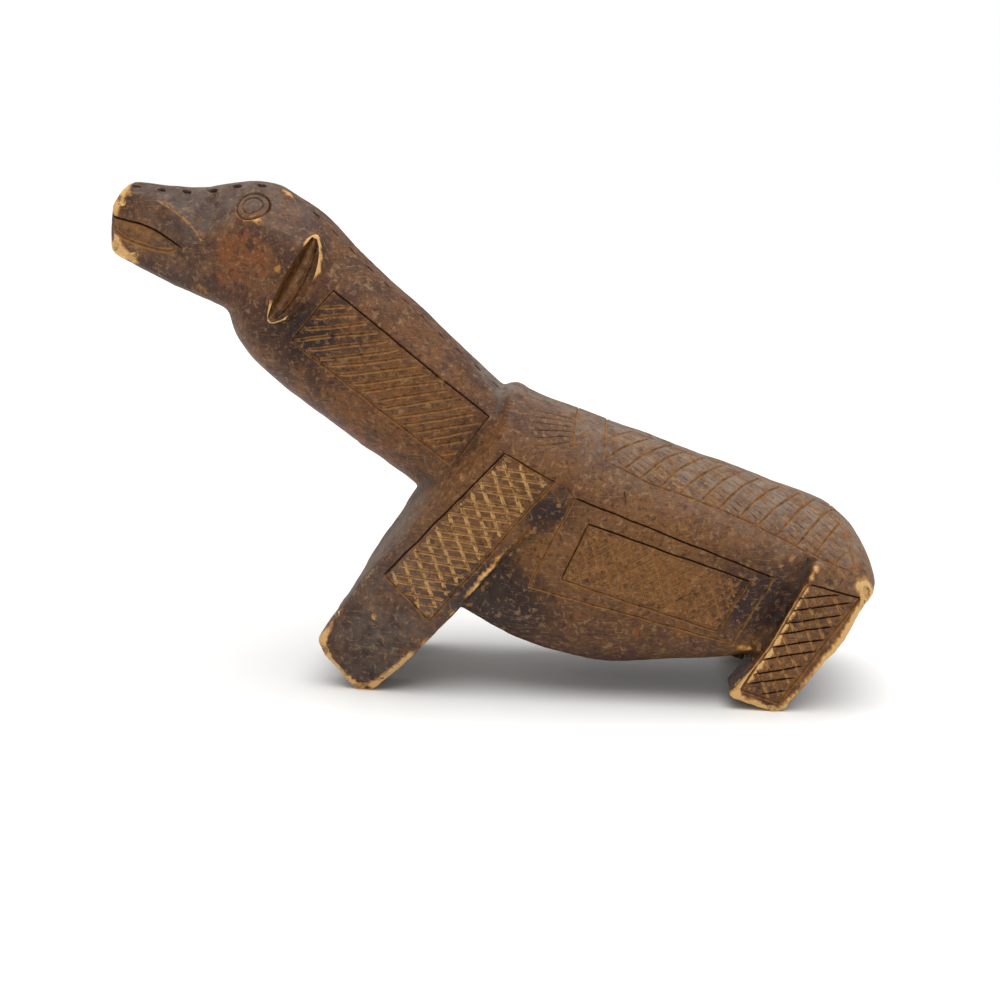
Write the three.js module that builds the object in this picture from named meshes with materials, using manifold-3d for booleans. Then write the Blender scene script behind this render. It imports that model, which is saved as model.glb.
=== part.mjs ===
// A carved wooden friction oracle: a crouching four-legged animal with a long raised neck.
// Millimetres, +Z up. The animal faces -X and stands on the plane z = 0, the middle of its footprint
// at the origin. It is cut from one block, so it is one solid, the same on both sides of y = 0.
import * as THREE from 'three';
import { mergeVertices } from 'three/addons/utils/BufferGeometryUtils.js';
import Module from 'manifold-3d';

const wasm = await Module();
wasm.setup();

// The trunk in side view, each line as [x, height]
const BACK_LINE = [[-60, 150], [6, 124.4], [11, 123.8], [15, 121], [28, 116.2], [65, 103], [106, 88.8],
  [128, 81], [140, 75.4], [148.5, 67.4], [153.6, 59.4], [156, 50.5]];
const BELLY_LINE = [[-60, 64], [-25, 42], [7, 23], [19, 17.5], [35, 12.8], [47, 11], [64, 11.8], [88, 14.5],
  [104, 17.5], [122, 24], [138, 33], [150, 43], [156, 48.5]];
const WIDEST_LINE = [[-60, 90], [10, 68], [107, 42], [140, 44], [156, 49.5]];
// The trunk's half-width before its flanks are flattened, and how square its back is, each as [x, value]
const GIRTH_LINE = [[-60, 42.5], [10, 42.5], [60, 41], [130, 41], [144, 40.4], [150, 38.6], [153.5, 33],
  [155.3, 24], [156, 13]];
const BACK_POWER_LINE = [[-60, 2.8], [10, 2.8], [60, 2.4], [156, 2.2]];
const BELLY_POWER = 3;
const FLANK = 38.5; // middle plane to the flat flanks

// The chest in side view, as [x, height]: its edges at the flanks, and its middle
const CHEST_EDGE = [[-88, -5], [-68.3, 20.8], [-44.2, 52.3], [9.1, 107.2], [36.1, 135]];
const CHEST_MIDDLE = [[-89, -5], [-69.3, 20.8], [-57.3, 38.5], [-49.2, 52.3], [-38.5, 68], [-31.8, 79],
  [-7, 107.2], [7, 124.7], [13, 135]];

// The legs in side view, as [x, height]; the front leg runs on past the chest, which trims it
const FRONT_LEG = [[-90, 22], [-68.3, 20.8], [-66, 14.8], [-56.8, 3.6], [-52.8, 0], [-45.2, 0],
  [-33.7, 11.6], [-9.9, 37.2], [7.3, 59], [33.4, 88.8], [-10, 94], [-90, 94]];
const HIND_LEG = [[98.3, 5.6], [101, 4.4], [114.2, 0], [119.8, 0], [121.7, 1.5], [134, 18.5], [142.9, 30.6],
  [150.8, 47.2], [146, 54], [130, 62], [127.3, 54], [121.2, 41.3], [114.2, 27.2], [107.6, 17.5]];
const FOOT_SIDE = 31.5; // middle plane to the outer face of a front foot
const FRONT_GAP = { top: 47, halfWidth: 14.5, topHalfWidth: 3 };
const HIND_GAP = { top: 40, halfWidth: 16.5 };

// Hollows cut in the flank behind the front leg and before the hind leg
const FRONT_HOLLOW = [[35.9, 85.4], [36.6, 89], [33, 91], [-60, -6], [-8, -6]];
const FRONT_HOLLOW_RISE = [[35.9, 85.4], [18.2, 48.6]]; // where the hollow meets the flank
const FRONT_HOLLOW_SLOPE = 0.42;
const HIND_HOLLOW = [[114.7, 55.2], [118.5, 62.6], [134, 64], [134, -6], [82, -6]];
const HIND_HOLLOW_RISE = [[114.7, 55.2], [99.6, 27.4]];
const HIND_HOLLOW_SLOPE = 0.58;

// The neck, measured along its own axis, as [distance from the chest, offset up from the axis]
const NECK_START = new THREE.Vector2(-10, 100);
const NECK_SLOPE = THREE.MathUtils.degToRad(38.5);
const NAPE_LINE = [[-30, 25], [4, 27], [27, 28.6], [49, 30.4], [76, 31.8], [92, 34], [103, 35.4], [113, 35]];
const THROAT_LINE = [[-30, -24], [-2, -26], [25, -27.4], [56, -29.4], [71, -29.8], [84, -29.4], [93, -27.8],
  [102, -24.4], [108, -20], [113, -11]];
const NECK_WIDEST_LINE = [[-30, 9], [0, 6.5], [85, -1.5], [113, 2]];
const NECK_GIRTH_LINE = [[-30, 28.5], [0, 27.8], [30, 27.4], [85, 27.2], [100, 25.4], [108, 21], [113, 15]];
const NECK_POWER = 2.5;
const NECK_FLANK = 25.2;

// The head in side view and in width, each as [x, value]
const CROWN_LINE = [[-160, 204.6], [-146, 204.3], [-136, 203.3], [-128, 202.9], [-118, 202.9], [-109, 203.8],
  [-101, 205], [-94, 205.1], [-86, 203.6], [-78, 198], [-64, 184]];
const BROW_LINE = [[-160, 201.5], [-146, 200.5], [-136, 198.2], [-122, 190.2], [-114.2, 182], [-109.7, 184],
  [-105, 187], [-100, 189], [-90, 189], [-78, 184], [-64, 176]];
const CHIN_LINE = [[-160, 178], [-155, 175.4], [-144, 169.9], [-132, 164.3], [-118, 158.8], [-105, 153.9],
  [-93, 149.5], [-84, 147.5], [-64, 147]];
const BROW_WIDTH = [[-160, 9.5], [-146, 11], [-136, 12.6], [-122, 15.4], [-114, 17.6], [-105, 19.6],
  [-94, 21.3], [-86, 22.8], [-64, 22]];
const CHEEK_WIDTH = [[-160, 11.5], [-144, 13.2], [-130, 15.4], [-118, 18.4], [-105, 21.4], [-95, 23.8],
  [-87, 26.6], [-80, 27.4], [-74, 24.5], [-64, 18]];
const JAW_WIDTH = [[-160, 10], [-144, 11.8], [-130, 13.6], [-118, 15.6], [-105, 18.4], [-93, 21.6], [-85, 24],
  [-76, 21], [-64, 15]];
const JAW_FACET = { in: 4.2, up: 2.6 };
// The mane, a strip over the head and down the neck, and the notches along both its edges: those on the
// head from x = fore to x = aft, those on the neck from its upper end to its foot, along its axis
const MANE = { halfWidth: 5.6, fall: 0.5 };
const NOTCH = { length: 5.4, width: 1.7, depth: 1.2, turn: 0.2 };
const HEAD_NOTCHES = { fore: -140, aft: -92, count: 5 };
const NECK_NOTCHES = { upper: 104, foot: 6, count: 10 };
// The front of the head, as [x, height], and the corners of the snout seen from above, as [x, y]
const SNOUT = [[-60, 230], [-125, 230], [-147, 204.5], [-154.2, 195], [-155.3, 191], [-156.2, 178],
  [-154.6, 175.2], [-120, 130], [-60, 130]];
const SNOUT_CORNERS = [[-157, -5], [-151, -13.5], [-60, -60], [-60, 60], [-151, 13.5], [-157, 5]];

// The ears: a leaf between two tips, as [x, height], bulging fore and aft
const EAR = { low: [-86.3, 150.2], high: [-67, 185.4], fore: 5.2, aft: 10 };
const EAR_FACE = { lowSide: 31, highSide: 22.5, root: 8 };
const EAR_HOLLOW = { rim: 2.4, depth: 5.2 };

// The eye and the mouth
const EYE = { x: -93.8, z: 194.8, across: 6.6, up: 5, groove: 1 };
const MOUTH = { fore: [-158, 189.6], aft: [-124, 180], over: 3.2, under: 4.4, lip: 1.5, depth: 1.7 };

// V-shaped grooves; proud is how far their tools stand above the surface
const GROOVE = { halfWidth: 0.75, depth: 1.1, proud: 0.5 };
const BAND_GROOVE = { halfWidth: 0.7, depth: 1, proud: 1.5 };
const HATCH_STOP = 1.8; // how far short of a panel's edge its lines end

// Engraved panels: the [x, height] of their corners, how far out their face is, and the lines that
// fill them, each family as [degrees, pitch, depth]
const NECK_PANEL = { corners: [[-60, 163.4], [2.2, 114.4], [-12.5, 93.2], [-77.5, 143.2]], face: NECK_FLANK,
  lines: [[8, 4.9, 1.1]] };
const LEG_PANEL = { corners: [[9, 102], [28.4, 91], [-21, 33], [-39, 51.6]], face: FLANK,
  lines: [[-4, 7, 1.1], [-62, 11, 0.9]] };
const FLANK_PANEL = { corners: [[36.4, 84.8], [114.4, 54.8], [99.4, 27.6], [18.8, 48.6]], face: FLANK,
  lines: [] };
const FLANK_INSET = { corners: [[42, 74.4], [104.8, 53.3], [93.2, 32.5], [31.6, 51.8]], face: FLANK,
  lines: [[24, 6.8, 1.1], [-52, 12.5, 0.9]] };
const HIND_PANEL = { corners: [[127.2, 52.8], [147.5, 47.8], [118.6, 3.6], [103.6, 8.6]], face: FLANK,
  lines: [[14, 5.4, 1.3]] };

// The band over the back: the line along its lower edge, as [x, height], the lines leaning from there
// to the ridge, and the two lines that cross the back in front of it
const BAND_EDGE = [[34, 103.4], [49.7, 97.5], [65.6, 89.8], [85.3, 83], [105.1, 75.1], [124.9, 65.9],
  [145.9, 57.2]];
const BAND = { fore: 48, aft: 143, lean: 19, lines: 7, crossings: [35, 47.5] };

// A smooth curve through [position, value] pairs, as a function of position
function lineThrough(pairs) {
  const slope = (i) => {
    const before = pairs[Math.max(i - 1, 0)];
    const after = pairs[Math.min(i + 1, pairs.length - 1)];
    return (after[1] - before[1]) / (after[0] - before[0]);
  };
  return (at) => {
    let i = 0;
    while (i < pairs.length - 2 && at > pairs[i + 1][0]) {
      i += 1;
    }
    const [x0, v0] = pairs[i];
    const [x1, v1] = pairs[i + 1];
    const t = THREE.MathUtils.clamp((at - x0) / (x1 - x0), 0, 1);
    const leave = slope(i) * (x1 - x0) * t * (1 - t) ** 2;
    const arrive = slope(i + 1) * (x1 - x0) * t * t * (t - 1);
    return v0 + (v1 - v0) * t * t * (3 - 2 * t) + leave + arrive;
  };
}

function span(from, to, steps) {
  return Array.from({ length: steps + 1 }, (_, i) => from + ((to - from) * i) / steps);
}

function signedPower(value, exponent) {
  return Math.sign(value) * Math.abs(value) ** exponent;
}

// A closed geometry as a solid, turned right side out
function solid(geometry) {
  const bare = new THREE.BufferGeometry().setAttribute('position', geometry.getAttribute('position'));
  if (geometry.index) {
    bare.setIndex(geometry.index);
  }
  const merged = mergeVertices(bare, 1e-3);
  const triVerts = new Uint32Array(merged.index.array);
  const vertProperties = merged.getAttribute('position').array;
  const made = new wasm.Manifold(new wasm.Mesh({ numProp: 3, vertProperties, triVerts }));
  if (made.volume() > 0) {
    return made;
  }
  triVerts.reverse();
  return new wasm.Manifold(new wasm.Mesh({ numProp: 3, vertProperties, triVerts }));
}

// A closed tube through rings; place(ring, side, radius) is a point, with radius 0 in the middle of an end
function loft(rings, sides, place) {
  const tube = new THREE.CylinderGeometry(1, 1, rings - 1, sides, rings - 1);
  const position = tube.getAttribute('position');
  for (let i = 0; i < position.count; i++) {
    const ring = Math.round(position.getY(i) + (rings - 1) / 2);
    const radius = Math.round(Math.hypot(position.getX(i), position.getZ(i)));
    const turn = Math.atan2(position.getX(i), position.getZ(i)) / (2 * Math.PI);
    const side = (Math.round(turn * sides) + sides) % sides;
    position.setXYZ(i, ...place(ring, side, radius));
  }
  return solid(tube);
}

// The section of a tube: rounded like a superellipse, up over the top and under the belly
function roundSection(side, sides, radius, shape) {
  const angle = (side / sides) * 2 * Math.PI;
  const up = Math.cos(angle) * radius;
  const across = Math.sin(angle) * radius;
  const exponent = 2 / (up > 0 ? shape.topPower : shape.lowPower);
  const reach = up > 0 ? shape.top - shape.widest : shape.widest - shape.low;
  return [shape.girth * signedPower(across, exponent), shape.widest + reach * signedPower(up, exponent)];
}

function outline(points) {
  return new THREE.Shape(points.map(([x, z]) => new THREE.Vector2(x, z)));
}

// A side view pushed through from y = near to y = far; place(x, y, z) may then move its corners
function plank(shape, near, far, place) {
  const depth = far - near;
  const board = new THREE.ExtrudeGeometry(shape, { depth, bevelEnabled: false, curveSegments: 6 });
  board.rotateX(Math.PI / 2).translate(0, far, 0);
  const position = board.getAttribute('position');
  for (let i = 0; place && i < position.count; i++) {
    position.setXYZ(i, ...place(position.getX(i), position.getY(i), position.getZ(i)));
  }
  return solid(board);
}

// A cut made on the near side and its reflection on the far side
function bothSides(body, cut) {
  return [-1, 1].reduce((left, side) => left.subtract(cut(side)), body);
}

// Height or length along a line that is straight between its points
function straight(points, at) {
  const i = Math.max(1, points.findIndex(([, z]) => z >= at));
  const [[x0, z0], [x1, z1]] = [points[i - 1], points[i]];
  return x0 + ((x1 - x0) * (at - z0)) / (z1 - z0);
}

const trunkLines = {
  top: lineThrough(BACK_LINE),
  low: lineThrough(BELLY_LINE),
  widest: lineThrough(WIDEST_LINE),
  girth: lineThrough(GIRTH_LINE),
  topPower: lineThrough(BACK_POWER_LINE),
  lowPower: () => BELLY_POWER,
};

function linesAt(lines, at) {
  return Object.fromEntries(Object.entries(lines).map(([name, line]) => [name, line(at)]));
}

// A point on the trunk's skin: x along it, turn round it from 0 at the ridge of the back to 1
function trunkSkin(x, turn) {
  const [y, z] = roundSection(turn, 1, 1, linesAt(trunkLines, x));
  return new THREE.Vector3(x, THREE.MathUtils.clamp(y, -FLANK, FLANK), z);
}

function trunk() {
  const sides = 28;
  const stations = [...span(-60, 128, 13), 134, 139.5, 144, 148, 151, 153.5, 155.2, 156];
  return loft(stations.length, sides, (ring, side, radius) => {
    const x = stations[ring];
    return [x, ...roundSection(side, sides, radius, linesAt(trunkLines, x))];
  });
}

// Both legs of a pair in one, a little wider than the flat flanks
function wideSlab(leg) {
  return plank(outline(leg), -FLANK - 2, FLANK + 2);
}

// The slab between the two flat flanks
function flatFlanks() {
  return plank(outline([[-100, -50], [200, -50], [200, 200], [-100, 200]]), -FLANK, FLANK);
}

// The wedge taken out of a flank: it starts at nothing along its rise and slopes inwards from there
function hollow(points, rise, slope, side) {
  const [[x0, z0], [x1, z1]] = rise;
  const length = Math.hypot(x1 - x0, z1 - z0);
  const floor = (x, z) => (((x - x0) * (z1 - z0) - (z - z0) * (x1 - x0)) / length) * slope;
  return plank(outline(points), 0, 1, (x, y, z) => {
    const inward = Math.abs(floor(x, z));
    return [x, side * (y > 0.5 ? 60 : FLANK - inward), z];
  });
}

// The convex front of the chest and shins, as the solid behind it
function chest() {
  const sides = 32;
  const levels = CHEST_MIDDLE.map(([, z]) => z);
  return loft(levels.length, sides, (ring, side, radius) => {
    const z = levels[ring];
    const angle = (side / sides) * 2 * Math.PI;
    const y = Math.sin(angle) * radius * (FLANK + 6);
    const edge = straight(CHEST_EDGE, z);
    const middle = CHEST_MIDDLE[ring][0];
    const front = middle + (edge - middle) * (Math.abs(y) / FLANK) ** 2;
    return [Math.cos(angle) * radius < -0.01 ? front : 200, y, z];
  });
}

function frontLegs() {
  const { top, halfWidth, topHalfWidth } = FRONT_GAP;
  const gap = outline([[-halfWidth, -1], [halfWidth, -1], [topHalfWidth, top], [-topHalfWidth, top]]);
  const wedge = new THREE.ExtrudeGeometry(gap, { depth: 200, bevelEnabled: false });
  wedge.rotateX(Math.PI / 2).rotateZ(Math.PI / 2).translate(-150, 0, 0);
  return wideSlab(FRONT_LEG).subtract(solid(wedge));
}

function hindLegs() {
  const gap = outline([[80, -5], [170, -5], [170, HIND_GAP.top], [80, HIND_GAP.top]]);
  return wideSlab(HIND_LEG).subtract(plank(gap, -HIND_GAP.halfWidth, HIND_GAP.halfWidth));
}

// What the tapering shins lose on their outer sides, below the lower edge of the leg's panel
function shinTaper(side) {
  const [, , end, start] = LEG_PANEL.corners;
  const reach = (x, z) => {
    const length = Math.hypot(end[0] - start[0], end[1] - start[1]);
    return ((x - start[0]) * (end[1] - start[1]) - (z - start[1]) * (end[0] - start[0])) / length;
  };
  const foot = Math.abs(reach(-49, 0));
  const block = outline([start, [-100, 113.6], [-120, -20], [30.3, -20], end]);
  return plank(block, 0, 1, (x, y, z) => {
    const inward = (Math.abs(reach(x, z)) / foot) * (FLANK - FOOT_SIDE);
    return [x, side * (y > 0.5 ? 60 : FLANK - inward), z];
  });
}

const neckLines = {
  top: lineThrough(NAPE_LINE),
  low: lineThrough(THROAT_LINE),
  widest: lineThrough(NECK_WIDEST_LINE),
  girth: lineThrough(NECK_GIRTH_LINE),
  topPower: () => NECK_POWER,
  lowPower: () => NECK_POWER,
};

// Distance along the neck and offset from its axis, as x and height
function fromNeck(along, offset) {
  return [NECK_START.x - Math.cos(NECK_SLOPE) * along + Math.sin(NECK_SLOPE) * offset,
    NECK_START.y + Math.sin(NECK_SLOPE) * along + Math.cos(NECK_SLOPE) * offset];
}

function neck() {
  const sides = 24;
  const stations = [...span(-30, 70, 7), 78, 85, 92, 98, 104, 109, 113];
  const round = loft(stations.length, sides, (ring, side, radius) => {
    const along = stations[ring];
    const [y, offset] = roundSection(side, sides, radius, linesAt(neckLines, along));
    const [x, z] = fromNeck(along, offset);
    return [x, y, z];
  });
  const flanks = outline([[-150, 0], [100, 0], [100, 250], [-150, 250]]);
  return round.intersect(plank(flanks, -NECK_FLANK, NECK_FLANK));
}

const headLines = {
  crown: lineThrough(CROWN_LINE),
  brow: lineThrough(BROW_LINE),
  chin: lineThrough(CHIN_LINE),
  browWidth: lineThrough(BROW_WIDTH),
  cheekWidth: lineThrough(CHEEK_WIDTH),
  jawWidth: lineThrough(JAW_WIDTH),
};

// Half of the head's faceted section, from the ridge round to the chin
function headSection(x) {
  const at = linesAt(headLines, x);
  const cheek = (at.brow + at.chin) / 2;
  return [
    [0, at.crown], [MANE.halfWidth, at.crown - MANE.fall], [at.browWidth, at.brow], [at.cheekWidth, cheek],
    [at.jawWidth, at.chin + JAW_FACET.up], [at.jawWidth - JAW_FACET.in, at.chin], [0, at.chin - 0.3],
  ];
}

function head() {
  const stations = [-160, -153, -146, -136, -129, -122, -117.5, -114.2, -110, -105, -100, -94, ...span(-86, -70, 2),
    -64];
  const half = 6;
  const round = loft(stations.length, half * 2, (ring, side, radius) => {
    const x = stations[ring];
    const section = headSection(x);
    if (radius === 0) {
      return [x, 0, (section[0][1] + section[half][1]) / 2];
    }
    const [y, z] = section[side <= half ? side : 2 * half - side];
    return [x, side <= half ? y : -y, z];
  });
  const corners = new THREE.Shape(SNOUT_CORNERS.map(([x, y]) => new THREE.Vector2(x, y)));
  const above = new THREE.ExtrudeGeometry(corners, { depth: 250, bevelEnabled: false });
  return round.intersect(plank(outline(SNOUT), -60, 60)).intersect(solid(above));
}

// A leaf between two tips, each side one curve that swells by the given amount
function leaf(low, high, fore, aft) {
  const along = new THREE.Vector2(high[0] - low[0], high[1] - low[1]);
  const across = new THREE.Vector2(-along.y, along.x).normalize();
  const point = (share, swell) => [low[0] + along.x * share + across.x * swell,
    low[1] + along.y * share + across.y * swell];
  const shape = new THREE.Shape();
  shape.moveTo(...low);
  shape.bezierCurveTo(...point(0.12, -aft * 1.33), ...point(0.8, -aft * 1.33), ...high);
  shape.bezierCurveTo(...point(0.75, fore * 1.33), ...point(0.25, fore * 1.33), ...low);
  return shape;
}

function shrink([ax, az], [bx, bz], by) {
  const length = Math.hypot(bx - ax, bz - az);
  return [ax + ((bx - ax) * by) / length, az + ((bz - az) * by) / length];
}

// How far out the ear's face stands, closer in towards its upper tip
function earFace(z) {
  const share = (z - EAR.low[1]) / (EAR.high[1] - EAR.low[1]);
  return EAR_FACE.lowSide + (EAR_FACE.highSide - EAR_FACE.lowSide) * share;
}

function ear(side) {
  const shape = leaf(EAR.low, EAR.high, EAR.fore, EAR.aft);
  return plank(shape, 0, 1, (x, y, z) => [x, side * (y > 0.5 ? earFace(z) : EAR_FACE.root), z]);
}

// The boat-shaped hollow of the ear, narrowing to its floor
function earHollow(side) {
  const { rim, depth } = EAR_HOLLOW;
  const low = shrink(EAR.low, EAR.high, rim * 1.6);
  const high = shrink(EAR.high, EAR.low, rim * 1.6);
  const mouth = leaf(low, high, EAR.fore - rim, EAR.aft - rim);
  const middle = [(low[0] + high[0]) / 2 + 0.8, (low[1] + high[1]) / 2];
  const narrow = (x, z, share) => [middle[0] + (x - middle[0]) * share, middle[1] + (z - middle[1]) * share];
  return plank(mouth, 0, 1, (x, y, z) => {
    const [placeX, placeZ] = narrow(x, z, y > 0.5 ? 1.15 : 0.4);
    return [placeX, side * (earFace(placeZ) + (y > 0.5 ? depth * 0.25 : -depth)), placeZ];
  });
}

// The oval groove round the eye, on the slope between the mane and the brow
function eyeGroove(side) {
  const ring = new THREE.TorusGeometry(1, EYE.groove / EYE.across, 3, 12);
  const section = headSection(EYE.x);
  const [[y0, z0], [y1, z1]] = [section[1], section[2]];
  const share = (z0 - EYE.z) / (z0 - z1);
  const tilt = Math.atan2(y1 - y0, z0 - z1);
  ring.scale(EYE.across, EYE.up / Math.cos(tilt), EYE.across);
  ring.rotateX(Math.PI / 2 + side * (Math.PI / 2 - tilt) + (side > 0 ? Math.PI : 0));
  ring.translate(EYE.x, side * (y0 + (y1 - y0) * share), EYE.z);
  return solid(ring);
}

// The mouth: a lens-shaped groove round a lip of wood
function mouthGroove(side) {
  const cheek = (x) => headLines.cheekWidth(x);
  const lens = (inset) => {
    const fore = shrink(MOUTH.fore, MOUTH.aft, inset * 2);
    const aft = shrink(MOUTH.aft, MOUTH.fore, inset * 2.4);
    return leaf(aft, fore, MOUTH.under - inset, MOUTH.over - inset);
  };
  const cut = (inset, depth) => plank(lens(inset), 0, 1, (x, y, z) => (
    [x, side * (y > 0.5 ? 30 : cheek(x) - depth), z]));
  return cut(0, MOUTH.depth).subtract(plank(lens(MOUTH.lip), -40, 40));
}

// A V-shaped groove along points on a surface; each point has its outward normal
function groove(points, normals, { halfWidth, depth, proud }) {
  return loft(points.length, 3, (ring, side, radius) => {
    const before = points[Math.max(ring - 1, 0)];
    const after = points[Math.min(ring + 1, points.length - 1)];
    const across = new THREE.Vector3().subVectors(after, before).cross(normals[ring]).normalize();
    const outward = side === 0 ? -depth : proud;
    const sideways = [0, 1, -1][side] * halfWidth * (1 + proud / depth);
    const at = points[ring].clone();
    at.addScaledVector(normals[ring], radius === 0 ? (proud * 2 - depth) / 3 : outward);
    at.addScaledVector(across, radius === 0 ? 0 : sideways);
    return at.toArray();
  });
}

// A straight groove between two [x, height] points on a flat face
function flatGroove(from, to, side, face, depth) {
  const points = [from, to].map(([x, z]) => new THREE.Vector3(x, side * face, z));
  const outward = new THREE.Vector3(0, side, 0);
  return groove(points, [outward, outward], { ...GROOVE, depth });
}

// The frame of a panel and the lines that fill it
function cutPanel(body, { corners, face, lines }, side) {
  const edges = corners.map((corner, i) => [corner, corners[(i + 1) % corners.length], GROOVE.depth]);
  const filling = lines.flatMap(([degrees, pitch, depth]) => (
    hatch(corners, degrees, pitch).map(([from, to]) => [from, to, depth])));
  return [...edges, ...filling].reduce((left, [from, to, depth]) => (
    left.subtract(flatGroove(from, to, side, face, depth))), body);
}

// Parallel lines at an angle across a panel, as pairs of [x, height], stopping short of its edges
function hatch(corners, degrees, pitch) {
  const slope = THREE.MathUtils.degToRad(degrees);
  const [ax, az] = [Math.cos(slope), Math.sin(slope)];
  const offset = ([x, z]) => z * ax - x * az;
  const along = ([x, z]) => x * ax + z * az;
  const offsets = corners.map(offset);
  const [low, high] = [Math.min(...offsets), Math.max(...offsets)];
  const count = Math.floor((high - low) / pitch - 0.4);
  const lines = [];
  for (let i = 0; i < count; i++) {
    const level = low + (high - low) / 2 + (i - (count - 1) / 2) * pitch;
    const ends = [];
    corners.forEach((corner, c) => {
      const next = corners[(c + 1) % corners.length];
      const [a, b] = [offset(corner) - level, offset(next) - level];
      if (a * b < 0) {
        const share = a / (a - b);
        ends.push([corner[0] + (next[0] - corner[0]) * share, corner[1] + (next[1] - corner[1]) * share]);
      }
    });
    const [start, end] = ends.sort((p, q) => along(p) - along(q));
    if (along(end) - along(start) > 4 * HATCH_STOP) {
      lines.push([shrink(start, end, HATCH_STOP), shrink(end, start, HATCH_STOP)]);
    }
  }
  return lines;
}

// A groove laid over the rounded back, through places given as [x, turn]
function backGroove(places) {
  const points = places.map(([x, turn]) => trunkSkin(x, turn));
  const normals = places.map(([x, turn]) => {
    const lengthwise = trunkSkin(x + 1, turn).sub(trunkSkin(x - 1, turn));
    const across = trunkSkin(x, turn + 0.01).sub(trunkSkin(x, turn - 0.01));
    return lengthwise.cross(across).normalize();
  });
  return groove(points, normals, BAND_GROOVE);
}

// How far round the trunk the lower edge of the band lies
const bandHeight = lineThrough(BAND_EDGE);

function bandTurn(x) {
  const { top, widest, topPower } = linesAt(trunkLines, x);
  const up = ((bandHeight(x) - widest) / (top - widest)) ** (topPower / 2);
  return Math.acos(up) / (2 * Math.PI);
}

function backBand(body) {
  const { fore, aft, lean, lines, crossings } = BAND;
  let left = bothSides(body, (side) => backGroove(span(fore, aft, 5).map((x) => [x, side * bandTurn(x)])));
  for (const x of crossings) {
    left = left.subtract(backGroove(span(-1, 1, 6).map((share) => [x, share * bandTurn(x)])));
  }
  for (const x of span(fore, aft - lean, lines - 1)) {
    left = bothSides(left, (side) => backGroove(span(0.08, 0.94, 2).map((share) => (
      [x + lean * share, side * (1 - share) * bandTurn(x)]))));
  }
  return left;
}

// The rows of notches along both edges of the mane, over the head and down the neck
function maneNotches(body) {
  const head = span(HEAD_NOTCHES.fore, HEAD_NOTCHES.aft, HEAD_NOTCHES.count - 1).map((x) => (
    [x, headLines.crown(x) - MANE.fall, 0]));
  const neckRow = span(NECK_NOTCHES.upper, NECK_NOTCHES.foot, NECK_NOTCHES.count - 1).map((along) => (
    [...fromNeck(along, neckLines.top(along) - MANE.fall), NECK_SLOPE]));
  return [...head, ...neckRow].reduce((left, [x, z, slope]) => bothSides(left, (side) => {
    const notch = new THREE.OctahedronGeometry(1);
    notch.scale(NOTCH.length / 2, NOTCH.width / 2, NOTCH.depth);
    notch.rotateZ(side * NOTCH.turn).rotateY(slope).translate(x, side * MANE.halfWidth, z);
    return solid(notch);
  }), body);
}

function cutPanels(body, side) {
  return [NECK_PANEL, LEG_PANEL, FLANK_PANEL, FLANK_INSET, HIND_PANEL].reduce((left, panel) => (
    cutPanel(left, panel, side)), body);
}

function figure() {
  let body = trunk();
  body = bothSides(body, (side) => hollow(FRONT_HOLLOW, FRONT_HOLLOW_RISE, FRONT_HOLLOW_SLOPE, side));
  body = bothSides(body, (side) => hollow(HIND_HOLLOW, HIND_HOLLOW_RISE, HIND_HOLLOW_SLOPE, side));
  body = bothSides(body.add(frontLegs()), shinTaper).add(hindLegs());
  body = body.intersect(chest()).intersect(flatFlanks());
  body = backBand(body.add(neck()).add(head()));
  body = cutPanels(cutPanels(body, -1), 1);
  body = bothSides(body.add(ear(-1)).add(ear(1)), earHollow);
  body = bothSides(bothSides(body, eyeGroove), mouthGroove);
  return maneNotches(body);
}

// A solid as a mesh with its name and material
function toMesh(made, name, material) {
  const { vertProperties, triVerts } = made.getMesh();
  const geometry = new THREE.BufferGeometry();
  geometry.setAttribute('position', new THREE.BufferAttribute(new Float32Array(vertProperties), 3));
  geometry.setIndex(new THREE.BufferAttribute(new Uint32Array(triVerts), 1));
  const mesh = new THREE.Mesh(geometry, material);
  mesh.name = name;
  return mesh;
}

const wood = new THREE.MeshStandardMaterial({ color: 0x4f3120, roughness: 0.55, metalness: 0 });
const oracle = new THREE.Group();
oracle.add(toMesh(figure(), 'figure', wood));

export default oracle;
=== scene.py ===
import math
import random

import bmesh
import bpy
import numpy as np
from mathutils import Matrix, Vector, kdtree, noise
from mathutils.bvhtree import BVHTree


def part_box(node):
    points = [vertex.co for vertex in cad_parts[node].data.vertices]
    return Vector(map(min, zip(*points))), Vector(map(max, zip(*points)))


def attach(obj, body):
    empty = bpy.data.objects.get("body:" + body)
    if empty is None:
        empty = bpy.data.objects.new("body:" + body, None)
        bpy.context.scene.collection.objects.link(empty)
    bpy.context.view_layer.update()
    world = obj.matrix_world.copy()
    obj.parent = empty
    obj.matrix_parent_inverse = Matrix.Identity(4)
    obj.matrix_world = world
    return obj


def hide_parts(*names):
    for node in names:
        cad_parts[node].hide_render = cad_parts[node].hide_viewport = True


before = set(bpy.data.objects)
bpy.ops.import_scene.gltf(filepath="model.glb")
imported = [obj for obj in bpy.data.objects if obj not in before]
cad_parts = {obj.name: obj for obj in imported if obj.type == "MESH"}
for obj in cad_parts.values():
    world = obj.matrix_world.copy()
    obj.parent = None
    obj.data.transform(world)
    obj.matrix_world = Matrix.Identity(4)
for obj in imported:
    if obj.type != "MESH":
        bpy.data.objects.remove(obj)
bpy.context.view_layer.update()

BLOCK = "figure"
block_low, block_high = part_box(BLOCK)
FIGURE_LENGTH = 312.2
MM = (block_high.x - block_low.x) / FIGURE_LENGTH
BLOCK_LOW, BLOCK_HIGH = block_low / MM, block_high / MM

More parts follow.
